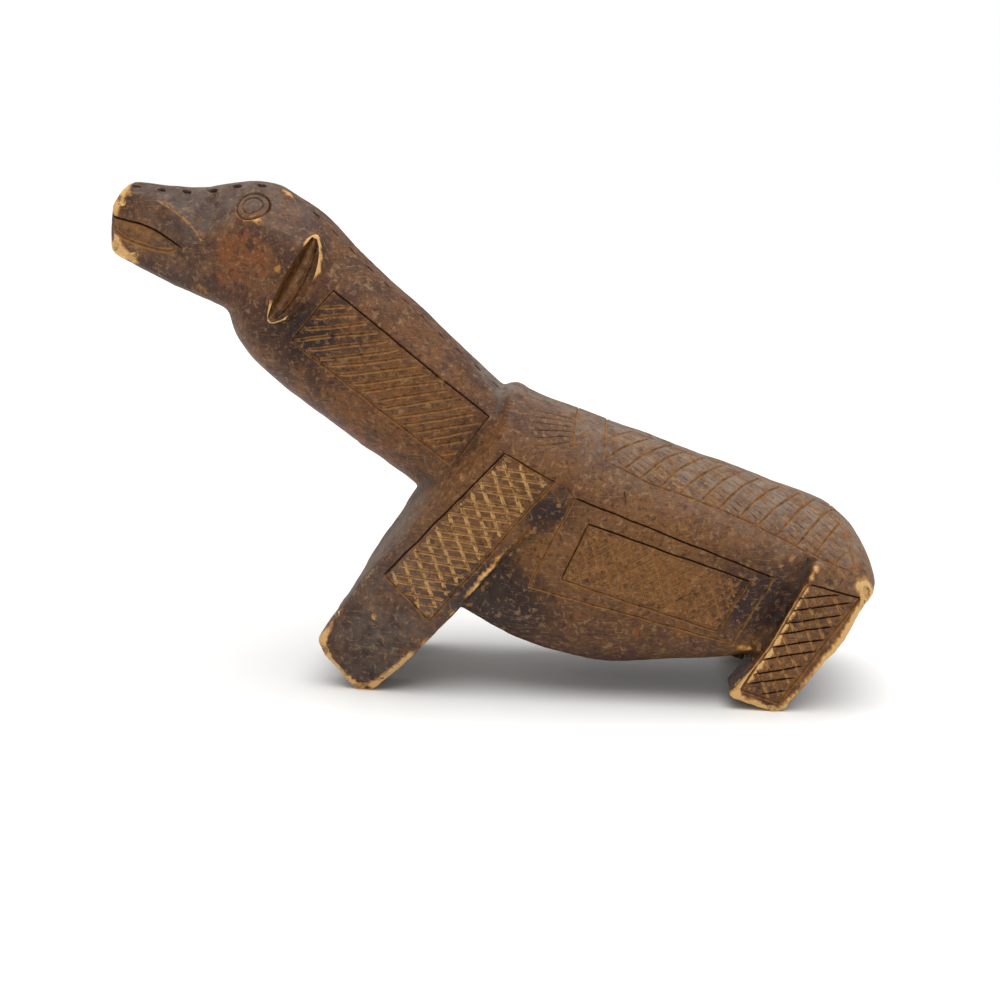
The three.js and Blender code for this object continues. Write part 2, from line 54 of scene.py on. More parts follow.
# Driving sizes, in millimetres
# Skin: its grain, and how broad and how deep the unevenness left by the tools is
VOXEL = 1.6
SWELL, SWELL_DEPTH = 22.0, 0.55
RIPPLE, RIPPLE_DEPTH = 7.0, 0.22
SHIVER, SHIVER_DEPTH = 2.8, 0.09
SCALLOP, SCALLOP_DEPTH = 8.5, 0.45
# The adze's scallops lie in front of a leaning edge and below the neck
ADZED_EDGE, ADZED_LEAN, ADZED_MIDDLE, ADZED_FADE, ADZED_TOP = 12, 0.5, 60, 30, 100
# The flat soles, and the shortest edges that are kept, after so many rounds of taking shorter ones out
FOOT_FLAT = 0.6
WELD = 0.1
MERGE_ROUNDS = 4
# Half widths of the trunk, of the neck and over the feet, and a distance well outside them all
FLANK = 38.5
NECK_FLANK = 25.2
FOOT_SIDE = 31.5
OUTSIDE = 60

# The trunk in side view, each line as (x, height)
BACK_LINE = [(-60, 150), (6, 124.4), (11, 123.8), (15, 121), (28, 116.2), (65, 103), (106, 88.8),
             (128, 81), (140, 75.4), (148.5, 67.4), (153.6, 59.4), (156, 50.5)]
BELLY_LINE = [(-60, 64), (-25, 42), (7, 23), (19, 17.5), (35, 12.8), (47, 11), (64, 11.8), (88, 14.5),
              (104, 17.5), (122, 24), (138, 33), (150, 43), (156, 48.5)]
WIDEST_LINE = [(-60, 90), (10, 68), (107, 42), (140, 44), (156, 49.5)]
GIRTH_LINE = [(-60, 42.5), (10, 42.5), (60, 41), (130, 41), (144, 40.4), (150, 38.6), (153.5, 33),
              (155.3, 24), (156, 13)]
BACK_POWER_LINE = [(-60, 2.8), (10, 2.8), (60, 2.4), (156, 2.2)]
BELLY_POWER = 3

# The chest in side view: its edges at the flanks, and its middle
CHEST_EDGE = [(-88, -5), (-68.3, 20.8), (-44.2, 52.3), (9.1, 107.2), (36.1, 135)]
CHEST_MIDDLE = [(-89, -5), (-69.3, 20.8), (-57.3, 38.5), (-49.2, 52.3), (-38.5, 68), (-31.8, 79),
                (-7, 107.2), (7, 124.7), (13, 135)]

# The legs in side view; the front leg runs on past the chest, which trims it
FRONT_LEG = [(-90, 22), (-68.3, 20.8), (-66, 14.8), (-56.8, 3.6), (-52.8, 0), (-45.2, 0),
             (-33.7, 11.6), (-9.9, 37.2), (7.3, 59), (33.4, 88.8), (-10, 94), (-90, 94)]
HIND_LEG = [(98.3, 5.6), (101, 4.4), (114.2, 0), (119.8, 0), (121.7, 1.5), (134, 18.5), (142.9, 30.6),
            (150.8, 47.2), (146, 54), (130, 62), (127.3, 54), (121.2, 41.3), (114.2, 27.2), (107.6, 17.5)]
FRONT_GAP = [(-14.5, -1), (14.5, -1), (3, 47), (-3, 47)]
HIND_GAP = [(80, -5), (170, -5), (170, 40), (80, 40)]
HIND_GAP_SIDE = 16.5

# Hollows cut in the flank behind the front leg and before the hind leg: outline, rise and slope
FRONT_HOLLOW = [(35.9, 85.4), (36.6, 89), (33, 91), (-60, -6), (-8, -6)]
FRONT_HOLLOW_RISE = [(35.9, 85.4), (18.2, 48.6)]
FRONT_HOLLOW_SLOPE = 0.42
HIND_HOLLOW = [(114.7, 55.2), (118.5, 62.6), (134, 64), (134, -6), (82, -6)]
HIND_HOLLOW_RISE = [(114.7, 55.2), (99.6, 27.4)]
HIND_HOLLOW_SLOPE = 0.58

# The neck along its own axis, as (distance from the chest, offset up from the axis)
NECK_START = (-10, 100)
NECK_SLOPE = math.radians(38.5)
NAPE_LINE = [(-30, 25), (4, 27), (27, 28.6), (49, 30.4), (76, 31.8), (92, 34), (103, 35.4), (113, 35)]
THROAT_LINE = [(-30, -24), (-2, -26), (25, -27.4), (56, -29.4), (71, -29.8), (84, -29.4), (93, -27.8),
               (102, -24.4), (108, -20), (113, -11)]
NECK_WIDEST_LINE = [(-30, 9), (0, 6.5), (85, -1.5), (113, 2)]
NECK_GIRTH_LINE = [(-30, 28.5), (0, 27.8), (30, 27.4), (85, 27.2), (100, 25.4), (108, 21), (113, 15)]
NECK_POWER = 2.5

# The head in side view and in width
CROWN_LINE = [(-160, 204.6), (-146, 204.3), (-136, 203.3), (-128, 202.9), (-118, 202.9), (-109, 203.8),
              (-101, 205), (-94, 205.1), (-86, 203.6), (-78, 198), (-64, 184)]
BROW_LINE = [(-160, 201.5), (-146, 200.5), (-136, 198.2), (-122, 190.2), (-114.2, 182), (-109.7, 184),
             (-105, 187), (-100, 189), (-90, 189), (-78, 184), (-64, 176)]
CHIN_LINE = [(-160, 178), (-155, 175.4), (-144, 169.9), (-132, 164.3), (-118, 158.8), (-105, 153.9),
             (-93, 149.5), (-84, 147.5), (-64, 147)]
BROW_WIDTH = [(-160, 9.5), (-146, 11), (-136, 12.6), (-122, 15.4), (-114, 17.6), (-105, 19.6),
              (-94, 21.3), (-86, 22.8), (-64, 22)]
CHEEK_WIDTH = [(-160, 11.5), (-144, 13.2), (-130, 15.4), (-118, 18.4), (-105, 21.4), (-95, 23.8),
               (-87, 26.6), (-80, 27.4), (-74, 24.5), (-64, 18)]
JAW_WIDTH = [(-160, 10), (-144, 11.8), (-130, 13.6), (-118, 15.6), (-105, 18.4), (-93, 21.6), (-85, 24),
             (-76, 21), (-64, 15)]
MANE_SIDE = 5.6
JAW_FACET_IN = 4.2
JAW_FACET_UP = 2.6
SNOUT = [(-60, 230), (-125, 230), (-147, 204.5), (-154.2, 195), (-155.3, 191), (-156.2, 178),
         (-154.6, 175.2), (-120, 130), (-60, 130)]
SNOUT_CORNERS = [(-157, -5), (-151, -13.5), (-60, -60), (-60, 60), (-151, 13.5), (-157, 5)]

# The ear and the eye
EAR_LOW, EAR_HIGH = (-86.3, 150.2), (-67, 185.4)
EAR_FORE, EAR_AFT = 5.2, 10
EAR_LOW_SIDE, EAR_HIGH_SIDE, EAR_ROOT = 31, 22.5, 8
EYE_PLACE = (-93.8, 194.8)
EYE_LENGTH, EYE_HEIGHT = 13.6, 10.4
EYE_BULGE, EYE_BULGE_REACH = 0.9, 1.25
EYE_INNER = 0.62

# Engraved panels, by their corners in side view
NECK_PANEL = [(-60, 163.4), (1.6, 114.2), (-13.4, 93.8), (-77.5, 143.2)]
LEG_PANEL = [(9, 102), (28.4, 91), (-21, 33), (-39, 51.6)]
FLANK_PANEL = [(36.4, 84.8), (114.4, 54.8), (99.4, 27.6), (18.8, 48.6)]
FLANK_INSET = [(42, 74.4), (104.8, 53.3), (93.2, 32.5), (31.6, 51.8)]
HIND_PANEL = [(127.2, 52.8), (147.5, 47.8), (118.6, 3.6), (103.6, 8.6)]
BAND_EDGE = [(34, 103.4), (49.7, 97.5), (65.6, 89.8), (85.3, 83), (105.1, 75.1), (124.9, 65.9),
             (145.9, 57.2)]

# The back's band: where it starts and ends, how far its long lines lean, and the way between them
BAND_START, BAND_END = 48.0, 144.0
BAND_LEAN = 19.0
BAND_PITCH = 7.4
# How far on the strokes that fill its strips go, and the way between them along the strip
STRIP_REACH, STRIP_PITCH = 0.68, 0.085
SHOULDER_STROKES = 6
# The two lines over the back, behind the shoulders and before the band, as (x, how bare)
BACK_LINES = [(35.4, 0.5), (BAND_START - 0.5, 0.75)]

# Nicks along the mane, as first place, last place and steps: over the head by x, and down the neck by
# the distance from the chest
NOTCH_LENGTH, NOTCH_WIDTH, NOTCH_DEPTH = 5.0, 2.2, 1.5
NOTCH_SPLAY = 0.14
HEAD_NOTCHES, NECK_NOTCHES = (-144, -92, 5), (104, 6, 10)

# Knife strokes: the way between their sections, how far the cutting shape stands out of the skin, and
# how much and how fast their course, width and depth change along them
STROKE_STEP, STROKE_PROUD = 2.2, 0.6
WANDER, WANDER_PACE = 0.35, 0.12
WIDTH_CHANGE, WIDTH_PACE = 0.22, 0.3
DEPTH_CHANGE, DEPTH_PACE = 0.3, 0.25
RUN_OUT = 3
# Hatching by hand: how far a line may turn in degrees, shift by its pitch, stop short and sag, and the
# shortest line that is cut
HAND_TURN, HAND_SHIFT, HAND_STOP, HAND_SAG = 1.1, 0.09, 0.7, 0.3
SHORTEST_LINE = 3.2
# What stays free between a panel's corners and its outermost lines, by the pitch
HATCH_MARGIN = 0.3

# Lines of the face on the right cheek, as (x, distance from the middle, height)
UPPER_LIP = [(-156, 9.5, 191.5), (-153.9, 10.5, 190.8), (-147.2, 12.4, 189.6), (-141.3, 13.1, 188.2),
             (-134.4, 13.6, 185.4), (-129.2, 14.4, 182.6), (-123, 16.4, 178.8)]
LOWER_LIP = [(-155.6, 9.5, 188), (-152.9, 10.6, 186.2), (-148, 11.4, 182.4), (-141.8, 13.1, 179.9),
             (-134.3, 14.3, 177.9), (-129, 15.5, 177.3), (-123.6, 16.5, 178.9)]
MOUTH_CORNER = (-156.2, 8.5)
UPPER_FRONT, LOWER_FRONT = 191.6, 187.8
BROW_CREASE = [(-134.7, 12.2, 198.2), (-126, 14.3, 193.2), (-119.3, 15.5, 188.1), (-114.4, 17.6, 181.6)]
BROW_RISE = [(-114.4, 17.8, 181.6), (-109, 18.6, 184.5), (-104, 19, 188)]

# The ear's hollow, across from its front rim (0) to its rear rim (1), as (place, depth): a steep
# front wall, a rounded tongue, a sharp ridge along the tongue and a slope out to the rear rim
EAR_PROFILE = [(0.0, 0.0), (0.05, 4.6), (0.12, 4.4), (0.22, 3.1), (0.34, 2.6), (0.46, 2.9), (0.54, 3.7),
               (0.59, 3.4), (0.63, 2.3), (0.68, 3.1), (0.8, 2.4), (0.92, 1.3), (1.0, 0.0)]
EAR_FRONT_RIM, EAR_REAR_RIM = 2.8, 1.4
EAR_PROUD = 3.0
EAR_FULL_DEPTH_WIDTH = 9

# Kinds of stroke, as (half width, depth, how much bare wood its walls show, how dark soot and painted
# shade make it)
BAND_EDGE_CUT = (0.45, 0.4, 0.3, 0.3)
BAND_REAR_CUT = (0.5, 0.5, 0.6, 0.4)
BAND_LONG_CUT = (0.62, 0.6, 0.65, 0.3)
SHOULDER_CUT = (0.42, 0.45, 0.3, 0.8)
# The upper lines of the mouth and snout are the darkest, painted shade under the upper lip
UPPER_LIP_CUT = (0.6, 1.1, 0.2, 1.0)
LOWER_LIP_CUT = (1.1, 1.0, 0.75, 0.35)
LIP_HOLLOW_CUT = (1.5, 0.5, 0.45, 0.2)
CREASE_CUT = (0.4, 0.35, 0.9, 0.1)
BROW_CUT = (0.35, 0.3, 0.4, 0.5)
SNOUT_UPPER_CUT = (0.7, 1.1, 0.2, 1.0)
SNOUT_LOWER_CUT = (0.9, 1.0, 0.5, 0.6)
# The two ovals of the eye: share of its size, then half width, depth and how dark soot and painted shade
# make it
EYE_CUTS = [(1, 0.75, 0.95, 0.75), (EYE_INNER, 0.5, 0.55, 0.4)]
PANEL_EDGE = (0.62, 0.85)

# Each panel: its corners, how far out it lies, how bare and how dark with soot and painted shade the lines
# of its frame are, and its hatching as (first and last angle, pitch, half width, depth, how bare, how dark
# with soot and painted shade, lean, stops). The upper lines of each frame and the hind panel's near-level
# lines are the darkest, painted shade where their upper walls face down.
PANELS = [
    (NECK_PANEL, NECK_FLANK, (0.15, 0.4, 0.75, 0.5), (0.9, 0.5, 0.2, 0.5),
     [((5, 12), 3.75, 0.85, 0.85, 0.75, 0.35, 0.35, (1.0, 2.4))]),
    (LEG_PANEL, FLANK, (0.4, 0.7, 0.8, 0.2), (0.7, 0.3, 0.2, 0.9),
     [((-6, -9), 3.5, 0.68, 0.7, 0.9, 0.25), ((-69, -72), 5.7, 0.7, 0.6, 0.95, 0.2)]),
    (FLANK_PANEL, FLANK, (0.2, 0.7, 0.8, 0.75), (1.0, 0.3, 0.2, 0.3), []),
    (FLANK_INSET, FLANK, (0.2, 0.6, 0.7, 0.3), (1.0, 0.3, 0.3, 0.7),
     [((28, 32), 2.75, 0.5, 0.5, 0.75, 0.25), ((-71, -75), 3.7, 0.55, 0.5, 0.75, 0.2)]),
    (HIND_PANEL, FLANK, (0.3, 0.8, 0.7, 0.8), (1.0, 0.2, 0.3, 0.2),
     [((9, 13), 4.6, 0.6, 0.95, 0.3, 1.0), ((-63, -66), 4.9, 0.62, 0.6, 0.9, 0.15)]),
]

# Knocks, shallow bowls where the wood was chipped, as (x, distance from the middle, height, length,
# width, depth, slope in degrees, how bare)
CHIPS = [(-115.6, 16.6, 162.1, 6.5, 3.4, 0.7, 28, 0.8), (-43.5, 35.9, 33.2, 3.4, 2.4, 0.8, 40, 1.0),
         (129.2, 33.1, 62.5, 6.8, 2.2, 0.8, -14, 0.2), (56, 36, 84.5, 6.5, 1.1, 0.7, 90, 0.1),
         (-62, 25, 152, 3.4, 1.6, 0.5, -60, 0.7), (-18, 24, 128, 3.0, 1.6, 0.4, 10, 0.7),
         (-66, 31, 18, 7, 4, 1.2, 60, 1.0), (-50, 31, 1.5, 9, 3, 1.2, 5, 1.0),
         (103, 35, 10, 4, 3, 1.0, -30, 1.0), (150, 37, 50, 6, 4, 1.4, 60, 1.0),
         (117, 38, 1.5, 7, 3, 1.0, 10, 1.0), (-153, 11, 179, 6, 4, 1.3, -30, 1.0),
         (-146, 12, 174.5, 8, 3.4, 1.1, -28, 1.0), (-150, 11, 197.5, 8, 4, 1.2, 40, 1.0),
         (-8, 36, 92, 6, 3, 0.9, 45, 0.7), (24, 38, 62, 4, 2, 0.7, 60, 0.6),
         (80, 37, 71, 3.4, 1.6, 0.6, -20, 0.4), (30, 36, 98, 4, 2, 0.6, 30, 0.5)]

# Places where the colour differs, the same on both sides, as (x, distance from the middle, height,
# radius in mm, how golden, how orange, how dark, how dusty). The darkness given to the hollows behind the
# legs, the belly's underside, the space between the hind legs and the neck below the ear is painted shade,
# and the dust given to the back, the crown, the collar and the chest front is partly painted sheen and
# painted light.
PATCHES = [
    (-120, 0, 185, 42, -0.4, 0.1, 0.35, 0.3), (-98, 22, 176, 15, 0.2, 1.0, -0.3, -0.3),
    (-100, 0, 203, 34, 0.0, 0.0, 0.0, 0.45), (-72, 24, 145, 12, -0.5, -0.2, 0.7, 0.0),
    (-52, 0, 104, 26, 0.25, 0.9, -0.2, 0.0), (-22, 0, 88, 22, 0.2, 0.8, -0.2, 0.0),
    (-40, 0, 155, 34, 0.1, 0.3, 0.1, 0.1), (-30, 25, 128, 30, 0.5, 0.2, 0.1, -0.3),
    (-30, 0, 55, 36, -0.5, -0.3, 0.0, 1.7), (2, 0, 124, 15, -0.4, -0.2, 0.1, 1.2),
    (-45, 30, 15, 28, -0.5, 0.1, 0.45, 0.4), (-4, 34, 70, 32, 0.7, 0.1, 0.1, -0.2),
    (5, 34, 42, 17, -0.6, -0.3, 1.0, 0.2), (26, 37, 77, 9, -0.6, 0.0, 0.9, -0.2),
    (26, 36, 64, 12, 0.5, 0.2, -0.2, 0.0), (-141, 13, 184, 8, 1.3, 0.3, -0.5, 0.0),
    (28, 34, 98, 18, 0.3, 0.2, 0.25, -0.2), (68, 40, 53, 36, 0.8, 0.3, 0.15, -0.3),
    (60, 0, 112, 45, 0.3, 0.0, -0.2, 0.9), (120, 0, 92, 42, 0.4, 0.1, -0.3, 1.0),
    (152, 20, 55, 26, 0.8, 0.6, -0.6, 0.5), (60, 0, 16, 42, -0.2, 0.3, 0.5, -0.2),
    (120, 36, 24, 17, 0.9, 0.1, -0.1, 0.0), (110, 32, 45, 13, -0.9, 0.1, 1.2, -0.3),
    (128, 0, 20, 24, -0.6, 0.0, 1.3, 0.0),
]
# Places worn down to the bare wood, the same way, as (x, distance, height, radius, how much)
WORN = [(-152, 10, 197, 7, 1.1), (-154, 5, 203, 6, 0.5), (-150, 11, 177, 8, 1.2), (-155, 4, 178, 6, 0.7),
        (-94, 20, 189, 7, 0.75), (-69, 24, 182, 6, 1.3), (-80, 26, 168, 6, 1.2), (-87, 28, 152, 6, 1.3),
        (-66, 25, 171, 5, 0.8), (-64, 31, 17, 8, 0.8), (-50, 31, 1, 9, 0.9), (-36, 33, 12, 9, 0.4),
        (2, 36, 52, 13, 0.15), (110, 36, 4, 10, 1.1), (112, 36, 26, 13, 0.8), (124, 36, 52, 10, 0.2),
        (140, 38, 34, 14, 0.9), (149, 37, 50, 9, 0.9), (118, 36, 62, 9, 0.3), (-26, 6, 154, 22, 0.6),
        (-60, 8, 183, 9, 0.9), (-80, 9, 199, 7, 0.8)]
# How much of the wear shows away from those places
WORN_ANYWHERE = 0.3

# Wood: its colours, from the head's purple brown to the flank's tobacco, a dark patina that also serves as
# painted shade, then bare wood, soot and dirt that also serve as painted shade, and grey dust that also
# serves as painted sheen
PATINA, PATINA_WARM, DARK_PATINA_AND_SHADE = "#4c2e1f", "#684225", "#2c1914"
GOLDEN, ORANGE = "#734b22", "#7a4420"
BARE, PALE, GROOVE_WOOD, SCUFFED = "#a06f38", "#cfa468", "#97693a", "#94744f"
SOOT_AND_SHADE, DUST_AND_SHEEN = "#20130e", "#837b71"

# What is kept on the mesh, under its attribute's name
KEPT = {"marks": ("cut", "bare", "soot_and_shade"), "age": ("worn", "dirt_and_shade", "upward"),
        "ground": ("golden", "orange", "dark_and_shade", "dust_and_sheen_amount")}

# Noise in the wood: the size of its features in mm, detail, roughness, warp, how far it is drawn out
# and how that is turned
ALL_ROUND, UNTURNED = (1, 1, 1), (0, 0, 0)
NOISES = {
    "clouds": (11, 3, 0.55, 0, ALL_ROUND, UNTURNED),
    "blotches": (4.5, 4, 0.6, 0.4, ALL_ROUND, UNTURNED),
    "mottle": (2.3, 4, 0.7, 0.6, ALL_ROUND, UNTURNED),
    "specks": (1.1, 3, 0.6, 0, ALL_ROUND, UNTURNED),
    "grain": (0.7, 4, 0.6, 0, (14, 1, 1), (0, 0.32, 0)),
    # Clouds that break up the grey dust and painted sheen
    "dust_and_sheen_clouds": (6, 5, 0.65, 0, ALL_ROUND, UNTURNED),
    "cut_grain": (2.2, 3, 0.6, 0, ALL_ROUND, UNTURNED),
    "rubbed": (16, 2, 0.5, 0, ALL_ROUND, UNTURNED),
    # Hairlines in three directions, where hands and baskets rubbed the patina
    "long_scratches": (0.55, 1, 0.5, 0, (22, 11, 1), (0.2, 0.5, 0.4)),
    "cross_scratches": (0.55, 1, 0.5, 0, (16, 8, 1), (0.2, -0.35, 0.4)),
    "short_scratches": (0.55, 1, 0.5, 0, (11, 5.5, 1), (0.2, 1.5, 0.4)),
}
SCRATCHES = [name for name in NOISES if name.endswith("scratches")]

# Masks: the weights by which fields are added up, and the sums at which the mask begins and is full
MASKS = {
    "warm": ({"clouds": 1}, 0.4, 0.6),
    # Dark places: dark patina, and painted shade in the hollows behind the legs, under the belly, between
    # the hind legs and below the ear
    "dark_patina_and_shade_places": ({"dark_and_shade": 1, "blotches": 0.5}, 0.72, 1.05),
    "golden_places": ({"golden": 1, "blotches": 0.7}, 0.85, 1.3),
    "orange_places": ({"orange": 1, "blotches": 1.7}, 1.57, 1.9),
    "dark_grain": ({"grain": 1}, 0.5, 0.72),
    "dark_mottle": ({"mottle": 1}, 0.54, 0.66),
    "pale_mottle": ({"mottle": 1}, 0.47, 0.34),
    "dark_specks": ({"specks": 1}, 0.54, 0.66),
    "flakes": ({"specks": 1, "blotches": 0.5}, 0.93, 1),
    **{name: ({name: 1}, 0.66, 0.72) for name in SCRATCHES},
    "rubbed": ({"rubbed": 1}, 0.4, 0.62),
    "bare_edge": ({"edge": 1}, 0.42, 0.7),
    "pale_edge": ({"edge": 1}, 0.75, 1),
    "dust_and_sheen_places": ({"dust_and_sheen_amount": 1}, 0.5, 1),
    "dust_and_sheen_breakup": ({"dust_and_sheen_clouds": 1}, 0.3, 0.65),
    "grained": ({"cut_grain": 1}, 0.25, 0.6),
    "freshest": ({"bare": 1}, 0.85, 1),
    "soot_and_shade_cover": ({"soot_and_shade": 1}, 0.15, 0.8),
}

# Coats that make up the patina, its dark places partly painted shade, and then its wear, its dirt that
# doubles as painted shade in hollows, and its dust that doubles as painted sheen on tops: mask, how much
# of it shows, colour
PATINA_COATS = [
    ("warm", 1, PATINA_WARM), ("dark_patina_and_shade_places", 1, DARK_PATINA_AND_SHADE), ("golden_places", 0.85, GOLDEN),
    ("orange_places", 0.85, ORANGE), ("dark_grain", 0.4, DARK_PATINA_AND_SHADE), ("dark_mottle", 0.75, DARK_PATINA_AND_SHADE),
    ("pale_mottle", 0.55, SCUFFED), ("dark_specks", 0.5, DARK_PATINA_AND_SHADE), ("scuffs", 0.35, SCUFFED),
    ("flakes", 0.55, SCUFFED),
]
WEAR_DIRT_SHADE_AND_SHEEN_COATS = [("bare_edge", 1, BARE), ("pale_edge", 1, PALE), ("dirt_and_shade", 0.6, SOOT_AND_SHADE), ("dust_and_sheen", 0.65, DUST_AND_SHEEN)]

# Gloss and bumps: where each starts, and what the fields add to it
ROUGHNESS, ROUGHER = 0.42, {"blotches": 0.22, "dust_and_sheen": 0.25}
BUMPS = {"grain": 0.5, "specks": 0.5, "scuffs": -0.4, "mottle": 0.8}
BUMP_DEPTH, BUMP_STRENGTH = 0.45, 0.7
WOOD_IOR, WOOD_SPECULAR = 1.4, 0.35
# The depth in mm from which a face counts as cut, and those over which soot and painted shade grow darker
# in a cut
CUT_LEAST, SOOT_AND_SHADE_DEPTHS = 0.1, (0.12, 0.7)
# How far a point stands out of its surroundings, in mm, from where it begins to be worn to where it is
# worn through, and how far it lies back where dirt and painted shade darken it
WORN_HEIGHTS, DIRT_AND_SHADE_DEPTHS = (0.07, 0.34), (0.08, 0.5)
# How far up a face turns, from where the dust and painted sheen on tops begin to where they are full
FACING_UP = (0.15, 0.95)

# Light and camera
ROOM_LIGHT, SKY_LIGHT = 0.55, 0.95
SKY_SOFTNESS = math.radians(65)
SKY_PLACE = (0.08, -0.12, 1)
CAMERA_AIM = Vector((3.6, 0, 74.85)) * MM
CAMERA_ELEVATION = math.radians(12.5)
CAMERA_TURN = math.radians(5.5)
CAMERA_DISTANCE = 600 * MM
CAMERA_ROLL = math.radians(0.2)
FOCAL_SHARE = 1.432
SENSOR = 36


def line_through(pairs):
    """A smooth curve through (place, value) pairs, as a function of place."""

    def slope(i):
        before, after = pairs[max(i - 1, 0)], pairs[min(i + 1, len(pairs) - 1)]
        return (after[1] - before[1]) / (after[0] - before[0])

    def value(at):
        i = 0
        while i < len(pairs) - 2 and at > pairs[i + 1][0]:
            i += 1
        (x0, v0), (x1, v1) = pairs[i], pairs[i + 1]
        t = min(max((at - x0) / (x1 - x0), 0), 1)
        leave = slope(i) * (x1 - x0) * t * (1 - t) ** 2
        arrive = slope(i + 1) * (x1 - x0) * t * t * (t - 1)
        return v0 + (v1 - v0) * t * t * (3 - 2 * t) + leave + arrive

    return value


def straight_line(points, height):
    """The x of a side view line, straight between its points, at a height."""
    i = next((i for i, point in enumerate(points) if point[1] >= height), len(points) - 1)
    (x0, z0), (x1, z1) = points[max(i, 1) - 1], points[max(i, 1)]
    return x0 + (x1 - x0) * (height - z0) / (z1 - z0)


def even(start, end, steps):
    return [start + (end - start) * i / steps for i in range(steps + 1)]


def signed_power(value, power):
    return math.copysign(abs(value) ** power, value)


def toward(a, b, distance):
    """The point that far along the way from a to b."""
    length = math.dist(a, b)
    return tuple(p + (q - p) * distance / length for p, q in zip(a, b))


# Blanks and cuts
def blank(name, bm):
    """Closes a bmesh as a piece of its own, turned right side out. The normals are made up to date
    first, because the turning goes by them and the points may have moved since."""
    bm.normal_update()
    bmesh.ops.recalc_face_normals(bm, faces=bm.faces)
    mesh = bpy.data.meshes.new(name)
    bm.to_mesh(mesh)
    bm.free()
    piece = bpy.data.objects.new(name, mesh)
    bpy.context.scene.collection.objects.link(piece)
    return piece


def tube(rings, sides, place):
    """A closed tube through rings; place(ring, side) is a point on it."""
    bm = bmesh.new()
    bmesh.ops.create_cone(bm, cap_ends=True, segments=sides, radius1=1, radius2=1, depth=1)
    lengthwise = [edge for edge in bm.edges if abs(edge.verts[0].co.z - edge.verts[1].co.z) > 0.5]
    bmesh.ops.subdivide_edges(bm, edges=lengthwise, cuts=rings - 2)
    for vert in bm.verts:
        ring = round((vert.co.z + 0.5) * (rings - 1))
        side = round(math.atan2(vert.co.y, vert.co.x) / (2 * math.pi) * sides) % sides
        vert.co = place(ring, side)
    return bm


def loft(name, rings, sides, place):
    return blank(name, tube(rings, sides, place))


def prism(outline, travel):
    """A flat outline pushed along into a solid."""
    bm = bmesh.new()
    face = bm.faces.new([bm.verts.new(corner) for corner in outline])
    pushed = bmesh.ops.extrude_face_region(bm, geom=[face])
    moved = [item for item in pushed["geom"] if isinstance(item, bmesh.types.BMVert)]
    bmesh.ops.translate(bm, vec=travel, verts=moved)
    return bm


def plank(name, outline, near, far, place=None):
    """A side view pushed through from y = near to y = far; place(x, y, z) may move its corners."""
    bm = prism([(x, near, z) for x, z in outline], (0, far - near, 0))
    if place:
        for vert in bm.verts:
            vert.co = place(*vert.co)
    return blank(name, bm)


def settle(piece):
    """Gives a piece the shape that its modifiers make."""
    view = bpy.context.evaluated_depsgraph_get()
    mesh = bpy.data.meshes.new_from_object(piece.evaluated_get(view))
    piece.modifiers.clear()
    rough = piece.data
    piece.data = mesh
    bpy.data.meshes.remove(rough)


def combine(piece, tool, operation):
    joint = piece.modifiers.new(operation, "BOOLEAN")
    joint.operation = operation
    joint.solver = "MANIFOLD"
    joint.object = tool
    settle(piece)
    mesh = tool.data
    bpy.data.objects.remove(tool)
    bpy.data.meshes.remove(mesh)
    return piece


def carve(piece, tool):
    return combine(piece, tool, "DIFFERENCE")


def join(piece, part):
    return combine(piece, part, "UNION")


def trim(piece, keep):
    return combine(piece, keep, "INTERSECT")


# The rough figure
trunk_top, trunk_low = line_through(BACK_LINE), line_through(BELLY_LINE)
trunk_widest, trunk_girth = line_through(WIDEST_LINE), line_through(GIRTH_LINE)
trunk_power = line_through(BACK_POWER_LINE)


def round_section(turn, top, low, widest, girth, top_power, low_power):
    """A point of a rounded section, as (across, up); turn goes round it from 0 at the top to 1."""
    angle = turn * 2 * math.pi
    up, across = math.cos(angle), math.sin(angle)
    power = 2 / (top_power if up > 0 else low_power)
    reach = top - widest if up > 0 else widest - low
    return girth * signed_power(across, power), widest + reach * signed_power(up, power)


def trunk_skin(x, turn):
    y, z = round_section(turn, trunk_top(x), trunk_low(x), trunk_widest(x), trunk_girth(x),
                         trunk_power(x), BELLY_POWER)
    return Vector((x, y, z))


def trunk():
    sides = 96
    stations = even(-60, 4, 16) + even(6, 16, 8) + even(19, 130, 37) + even(132, 148, 12)
    stations += [149.5, 151, 152.3, 153.5, 154.5, 155.2, 155.7, 156]
    return loft("trunk", len(stations), sides, lambda ring, side: trunk_skin(stations[ring], side / sides))


def hollow(outline, rise, slope, side):
    """The wedge taken out of a flank: nothing along its rise, deeper with the distance from there."""
    (x0, z0), (x1, z1) = rise
    length = math.hypot(x1 - x0, z1 - z0)

    def place(x, y, z):
        inward = abs((x - x0) * (z1 - z0) - (z - z0) * (x1 - x0)) / length * slope
        return x, side * (OUTSIDE if y > 0.5 else FLANK - inward), z

    return plank("hollow", outline, 0, 1, place)


def chest():
    """The convex front of the chest and shins, as all that lies behind it."""
    sides = 96
    middle = line_through([(z, x) for x, z in CHEST_MIDDLE])
    levels = even(-5, 135, 56)

    def place(ring, side):
        z = levels[ring]
        angle = side / sides * 2 * math.pi
        y = math.sin(angle) * (FLANK + 6)
        edge = straight_line(CHEST_EDGE, z)
        front = middle(z) + (edge - middle(z)) * (abs(y) / FLANK) ** 2
        return (front if math.cos(angle) < -0.01 else 200), y, z

    return loft("chest", len(levels), sides, place)


def front_legs():
    gap = prism([(-150, y, z) for y, z in FRONT_GAP], (200, 0, 0))
    return carve(plank("front_legs", FRONT_LEG, -FLANK - 2, FLANK + 2), blank("front_gap", gap))


